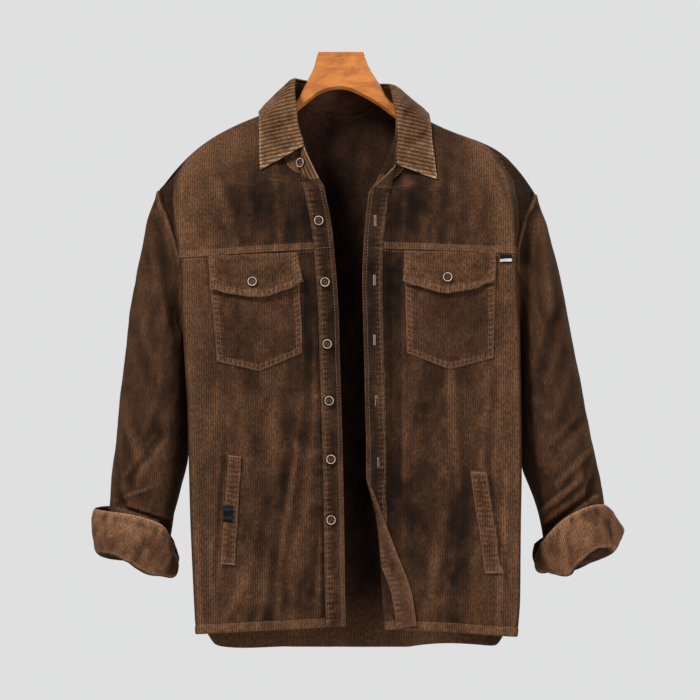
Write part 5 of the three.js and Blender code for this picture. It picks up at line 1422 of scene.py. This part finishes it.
def surfaces():
    """All cloth surfaces, made once."""
    if not SURFACES:
        body = make_body()
        SURFACES.update(body)
        for name in SIDES:
            SURFACES["sleeve_" + name] = make_sleeve(name, body)
            SURFACES["cuff_" + name] = make_cuff(name, SURFACES["sleeve_" + name])
        SURFACES.update(make_collar())
        for k, (name, outline) in enumerate(POCKETS.items()):
            SURFACES[name] = laid(outline, 1.9, 1.0, 120 + 5 * k, 1.8)
        for k, (name, outline) in enumerate(FLAPS.items()):
            SURFACES[name] = laid(outline, 4.2, 0.9, 130 + 5 * k, 1.8, "bottom", 5.0, 0.75, 0.5)
        for k, (name, outline) in enumerate(WELTS.items()):
            edge = "first" if name == "welt_right" else "last"
            SURFACES[name] = laid(outline, 1.9, 0.4, 140 + 5 * k, 2.2, edge, 3.4)
        for k, (name, outline) in enumerate(LABELS.items()):
            SURFACES[name] = laid(outline, 8.0 if name == "label_pocket" else 3.4, 0.1, 150 + 5 * k, 1.6)
    return SURFACES


def cloth_pieces(names, outer, inner):
    """Builds the named cloth pieces and hides the solids that they stand for."""
    made = []
    for name in names:
        piece = cloth_object(name + "-cloth", surfaces()[name], [outer, inner])
        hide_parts(name)
        made.append(piece)
    return made


class JACKET_OT_body(bpy.types.Operator):
    """Builds the back, the fronts, the yokes and the front strips."""

    bl_idname = "jacket.body"
    bl_label = "Body"

    def execute(self, context):
        m = materials_of(context.scene.jacket)
        names = ["back"] + [kind + side for kind in ("front_", "front_yoke_", "placket_") for side in SIDES]
        # the turned-back front and strip show the inner side in the paler, lit copy
        turned = ["front_left", "placket_left"]
        cloth_pieces([n for n in names if n not in turned], m["cotton_corduroy_brushed"],
                     m["cotton_corduroy_inside"])
        cloth_pieces(turned, m["cotton_corduroy_brushed"], m["cotton_corduroy_turned"])
        return {"FINISHED"}


class JACKET_OT_collar(bpy.types.Operator):
    """Builds the collar stand and the collar leaf."""

    bl_idname = "jacket.collar"
    bl_label = "Collar"

    def execute(self, context):
        m = materials_of(context.scene.jacket)
        cloth_pieces(["collar_stand", "collar"], m["cotton_corduroy_collar"], m["cotton_corduroy_inside"])
        return {"FINISHED"}


class JACKET_OT_sleeves(bpy.types.Operator):
    """Builds the sleeves and their turned-back cuffs."""

    bl_idname = "jacket.sleeves"
    bl_label = "Sleeves and cuffs"

    def execute(self, context):
        m = materials_of(context.scene.jacket)
        cloth_pieces(["sleeve_" + side for side in SIDES], m["cotton_corduroy_brushed"],
                     m["cotton_corduroy_inside"])
        cloth_pieces(["cuff_" + side for side in SIDES], m["cotton_corduroy_faded"],
                     m["cotton_corduroy_inside"])
        return {"FINISHED"}


class JACKET_OT_pockets(bpy.types.Operator):
    """Builds the chest pockets, their flaps and the welts of the side pockets."""

    bl_idname = "jacket.pockets"
    bl_label = "Pockets"

    def execute(self, context):
        m = materials_of(context.scene.jacket)
        names = list(POCKETS) + list(FLAPS) + list(WELTS)
        cloth_pieces(names, m["cotton_corduroy_brushed"], m["cotton_corduroy_inside"])
        return {"FINISHED"}


class JACKET_OT_labels(bpy.types.Operator):
    """Builds the two small folded labels."""

    bl_idname = "jacket.labels"
    bl_label = "Labels"

    def execute(self, context):
        m = materials_of(context.scene.jacket)
        for name, material in (("label_pocket", "woven_polyester_tape_black"),
                               ("label_yoke", "woven_polyester_tape_pale")):
            cloth_pieces([name], m[material], m[material])
        return {"FINISHED"}


class JACKET_OT_stitching(bpy.types.Operator):
    """Sews the top stitching along hems, seams, strips, pockets, cuffs and collar."""

    bl_idname = "jacket.stitching"
    bl_label = "Stitching"

    def execute(self, context):
        settings = context.scene.jacket
        m = materials_of(settings)
        s = surfaces()
        stitch = settings.stitch_length / MM
        half = CLOTH / 2
        lines = {}
        for side in SIDES:
            lines["front_" + side] = [("bottom", HEM), ("top", 1.8)]
            lines["front_yoke_" + side] = [("bottom", distance) for distance in YOKE_SEAMS]
            lines["placket_" + side] = [("last", STRIP_SEAM), ("first", STRIP_EDGE_SEAM)]
            lines["cuff_" + side] = [("top", distance) for distance in CUFF_SEAMS]
            lines["sleeve_" + side] = [("bottom", 3.5)]
            for kind in ("chest_pocket_", "pocket_flap_"):
                lines[kind + side] = [(e, d) for e in ("first", "last", "bottom") for d in LAID_SEAMS]
            lines["welt_" + side] = [("first", 2), ("last", 2)]
        lines["back"] = [("bottom", HEM)]
        lines["collar"] = [(edge, COLLAR_SEAM) for edge in ("top", "first", "last")]
        lines["collar_stand"] = [("bottom", 2.5)]
        for name, rows in lines.items():
            runs = []
            for edge, offset in rows:
                inset = offset if name.startswith(("chest", "pocket", "collar")) and offset > 2 else 0.5
                p, n = s[name].line(edge, offset, inset, inset)
                runs.append((p + n * half, n))
            thread_mesh("stitches_" + name, runs, stitch, 0.9, TOP_THREAD, m["polyester_thread_brown"])
        return {"FINISHED"}


def seat(name, x, z):
    """Place and normal of a cloth surface where it is seen at x and z."""
    s = surfaces()[name]
    gap = (s.p[..., 0] - x) ** 2 + (s.p[..., 2] - z) ** 2
    i, j = np.unravel_index(gap.argmin(), gap.shape)
    near = s.n[max(0, i - 2):i + 3, max(0, j - 2):j + 3].reshape(-1, 3).mean(0)
    n = unit(near[None])[0]
    p = s.p[i, j] + s.n[i, j] * (s.outer[i, j] + CLOTH / 2)
    return np.array([x, p[1] - (n[0] * (x - p[0]) + n[2] * (z - p[2])) / n[1], z]), n


def select_faces(obj, test):
    """Selects the faces whose centre and normal pass a test."""
    bpy.ops.object.mode_set(mode="EDIT")
    bpy.ops.mesh.select_mode(type="FACE")
    bpy.ops.mesh.select_all(action="DESELECT")
    bpy.ops.object.mode_set(mode="OBJECT")
    for face in obj.data.polygons:
        face.select = test(face.center, face.normal)
    bpy.ops.object.mode_set(mode="EDIT")


def model_button(settings, materials):
    """One four-hole button at the origin, facing up: rimmed disc, sunk middle, four holes and its thread."""
    radius = settings.button_radius
    rim, ledge, slope, hole, bore = (radius * share for share in (0.13, 0.17, 0.07, 0.24, 0.13))
    parts = ("moulded_horn_resin", "moulded_horn_resin_dark", "polyester_thread_brown")
    bpy.ops.object.select_all(action="DESELECT")
    bpy.ops.mesh.primitive_cylinder_add(vertices=32, radius=radius, depth=0.003, location=(0, 0, 0.0015))
    button = bpy.context.object
    bpy.ops.object.transform_apply(location=True, rotation=True, scale=True)
    select_faces(button, lambda centre, normal: normal.z > 0.9)
    bpy.ops.mesh.inset(thickness=rim)
    bpy.ops.transform.translate(value=(0, 0, 0.0004))
    bpy.ops.mesh.inset(thickness=ledge)
    bpy.ops.mesh.inset(thickness=slope)
    bpy.ops.transform.translate(value=(0, 0, -0.0011))
    bpy.ops.object.mode_set(mode="OBJECT")
    bevel = button.modifiers.new("bevel", "BEVEL")
    bevel.width, bevel.segments, bevel.limit_method = 0.00035, 2, "ANGLE"
    bpy.ops.object.modifier_apply(modifier=bevel.name)
    for x, y in ((hole, hole), (-hole, hole), (-hole, -hole), (hole, -hole)):
        bpy.ops.object.select_all(action="DESELECT")
        bpy.ops.mesh.primitive_cylinder_add(vertices=12, radius=bore, depth=0.01, location=(x, y, 0))
        cutter = bpy.context.object
        bpy.context.view_layer.objects.active = button
        cut = button.modifiers.new("hole", "BOOLEAN")
        cut.object, cut.solver = cutter, "EXACT"
        bpy.ops.object.modifier_apply(modifier=cut.name)
        bpy.data.objects.remove(cutter, do_unlink=True)
    for name in parts:
        button.data.materials.append(materials[name])
    for face in button.data.polygons:
        reach = math.hypot(face.center.x, face.center.y) / radius
        face.material_index = int(not 0.69 < reach < 0.9)
    for x in (hole, -hole):
        bpy.ops.object.select_all(action="DESELECT")
        bpy.ops.mesh.primitive_cylinder_add(vertices=10, radius=0.00042, depth=hole * 2.6,
                                            location=(x, 0, 0.00265), rotation=(math.radians(90), 0, 0))
        thread = bpy.context.object
        bpy.ops.object.transform_apply(location=True, rotation=True, scale=True)
        for name in parts:
            thread.data.materials.append(materials[name])
        for face in thread.data.polygons:
            face.material_index = 2
        button.select_set(True)
        bpy.context.view_layer.objects.active = button
        bpy.ops.object.join()
    bpy.ops.object.shade_smooth_by_angle(angle=math.radians(35))
    return button


class JACKET_OT_buttons(bpy.types.Operator):
    """Models one four-hole button and sets a copy at each place of a button."""

    bl_idname = "jacket.buttons"
    bl_label = "Buttons"

    def execute(self, context):
        model = model_button(context.scene.jacket, materials_of(context.scene.jacket))
        places = {"button_%d" % (k + 1): ("placket_right", place) for k, place in enumerate(BUTTONS)}
        places["button_1"] = ("collar_stand", BUTTONS[0])
        for name, place in FLAP_BUTTONS.items():
            places[name] = (name.replace("flap_button", "pocket_flap"), place)
        for k, (name, (cloth, (x, z))) in enumerate(places.items()):
            p, n = seat(cloth, x, z)
            if cloth == "collar_stand":
                n = unit(n * 0.45 + np.array([0, -0.75, 0.1]))
            turn = Vector(n).to_track_quat("Z", "X").to_matrix().to_4x4()
            piece = model.copy()
            piece.data = model.data.copy()
            piece.name = name + "-horn"
            spin = Matrix.Rotation(0.35 * k, 4, "Z")
            piece.data.transform(Matrix.Translation(Vector((p + n * 0.5) * MM)) @ turn @ spin)
            context.collection.objects.link(piece)
            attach(piece, "root")
            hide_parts(name)
        bpy.data.objects.remove(model, do_unlink=True)
        return {"FINISHED"}


class JACKET_OT_buttonholes(bpy.types.Operator):
    """Sews the buttonholes of the left front strip and the bar tacks at pockets and welts."""

    bl_idname = "jacket.buttonholes"
    bl_label = "Buttonholes and bar tacks"

    def execute(self, context):
        m = materials_of(context.scene.jacket)
        holes, slits, tacks = [], [], []
        for x, z in BUTTONHOLES:
            for side in (-1, 1):
                for k in range(HOLE_STITCHES):
                    row = z + HOLE_HALF - k * HOLE_PITCH
                    a, n = seat("placket_left", x + side * 0.25, row)
                    b, _ = seat("placket_left", x + side * 1.6, row)
                    holes.append((np.array([a, b]), np.array([n, n])))
            # painted shadow along the cut of the buttonhole
            a, n = seat("placket_left", x, z + SLIT_HALF)
            b, _ = seat("placket_left", x, z - SLIT_HALF)
            slits.append((np.array([a, b]), np.array([n, n])))
        for cloth, x0, z0, x1, z1 in TACKS:
            count = int(math.hypot(x1 - x0, z1 - z0) / TACK_PITCH)
            for k in range(count):
                t = k / max(1, count - 1)
                x, z = x0 + (x1 - x0) * t, z0 + (z1 - z0) * t
                a, n = seat(cloth, x, z + TACK_HALF)
                b, _ = seat(cloth, x, z - TACK_HALF)
                tacks.append((np.array([a, b]), np.array([n, n])))
        thread_mesh("buttonhole_stitches", holes, 1.3, 0, HOLE_THREAD, m["polyester_thread_tan"])
        thread_mesh("buttonhole_slits", slits, 12.5, 0, SLIT_SHADOW_RADIUS, m["slit_painted_shadow"])
        thread_mesh("bar_tacks", tacks, 1.95, 0, TACK_THREAD, m["polyester_thread_brown"])
        return {"FINISHED"}


class JACKET_OT_hanger(bpy.types.Operator):
    """Gives the hanger its wood."""

    bl_idname = "jacket.hanger"
    bl_label = "Hanger"

    def execute(self, context):
        wood = materials_of(context.scene.jacket)["lacquered_beech_wood"]
        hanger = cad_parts["hanger"]
        for slot in hanger.material_slots:
            slot.material = wood
        return {"FINISHED"}


FLOOR_HEIGHT, FLOOR_RADIUS = -1.45, 2.6
CAMERA_PLACE, CAMERA_LENS = (0.0117, -6.0, -0.3874), 237.4
LIGHTS_AIM = (0, 0, -0.35)


class JACKET_OT_stage(bpy.types.Operator):
    """Sets the floor, the light and the camera."""

    bl_idname = "jacket.stage"
    bl_label = "Stage"

    def execute(self, context):
        m = materials_of(context.scene.jacket)
        bpy.ops.object.select_all(action="DESELECT")
        bpy.ops.mesh.primitive_circle_add(vertices=96, radius=FLOOR_RADIUS, fill_type="NGON",
                                          location=(0, 0, FLOOR_HEIGHT))
        floor = context.object
        floor.name = "studio_floor"
        floor.data.materials.append(m["matt_studio_paint"])
        world = bpy.data.worlds.new("pale_studio")
        world.use_nodes = True
        context.scene.world = world
        background = world.node_tree.nodes["Background"]
        seen = node(world.node_tree, "ShaderNodeLightPath").outputs["Is Camera Ray"]
        # pale as a backdrop and dimmer as a light, so that the folds keep their shadows
        power = node(world.node_tree, "ShaderNodeMapRange", {"Value": seen, "To Min": 0.4, "To Max": 1.0})
        background.inputs[0].default_value = linear("#e0e0e1")
        world.node_tree.links.new(power.outputs[0], background.inputs[1])
        for name, energy, size, place in (
            ("key", 165, 0.8, (-1.7, -2.6, 2.4)),
            ("fill", 52, 2.0, (2.4, -3.0, -0.3)),
            ("back_light", 110, 2.0, (0.8, 3.0, 1.6)),
        ):
            bpy.ops.object.light_add(type="AREA", location=place)
            light = context.object
            light.name = name
            light.data.energy = energy
            light.data.size = size
            aim = Vector(LIGHTS_AIM) - Vector(place)
            light.rotation_euler = aim.to_track_quat("-Z", "Y").to_euler()
        bpy.ops.object.camera_add(location=CAMERA_PLACE, rotation=(math.radians(90), 0, 0))
        camera = context.object
        camera.data.lens = CAMERA_LENS
        camera.data.clip_end = 60
        context.scene.camera = camera
        context.scene.view_settings.view_transform = "Standard"
        return {"FINISHED"}


class JACKET_PT_panel(bpy.types.Panel):
    """Panel with the settings and one button for each operator."""

    bl_idname = "JACKET_PT_panel"
    bl_label = "Corduroy jacket"
    bl_space_type = "VIEW_3D"
    bl_region_type = "UI"
    bl_category = "Jacket"

    def draw(self, context):
        settings = context.scene.jacket
        for key in JacketSettings.__annotations__:
            self.layout.prop(settings, key)
        for operator in OPERATORS:
            self.layout.operator(operator.bl_idname)


OPERATORS = (JACKET_OT_body, JACKET_OT_collar, JACKET_OT_sleeves, JACKET_OT_pockets, JACKET_OT_labels,
             JACKET_OT_stitching, JACKET_OT_buttons, JACKET_OT_buttonholes, JACKET_OT_hanger, JACKET_OT_stage)
CLASSES = (JacketSettings,) + OPERATORS + (JACKET_PT_panel,)


def register():
    """Registers the classes and the settings."""
    for item in CLASSES:
        bpy.utils.register_class(item)
    bpy.types.Scene.jacket = bpy.props.PointerProperty(type=JacketSettings)


def unregister():
    """Takes the classes and the settings away again."""
    del bpy.types.Scene.jacket
    for item in reversed(CLASSES):
        bpy.utils.unregister_class(item)


def main():
    """Builds the whole scene."""
    register()
    for operator in OPERATORS:
        group, name = operator.bl_idname.split(".")
        getattr(getattr(bpy.ops, group), name)()


if __name__ == "__main__":
    main()
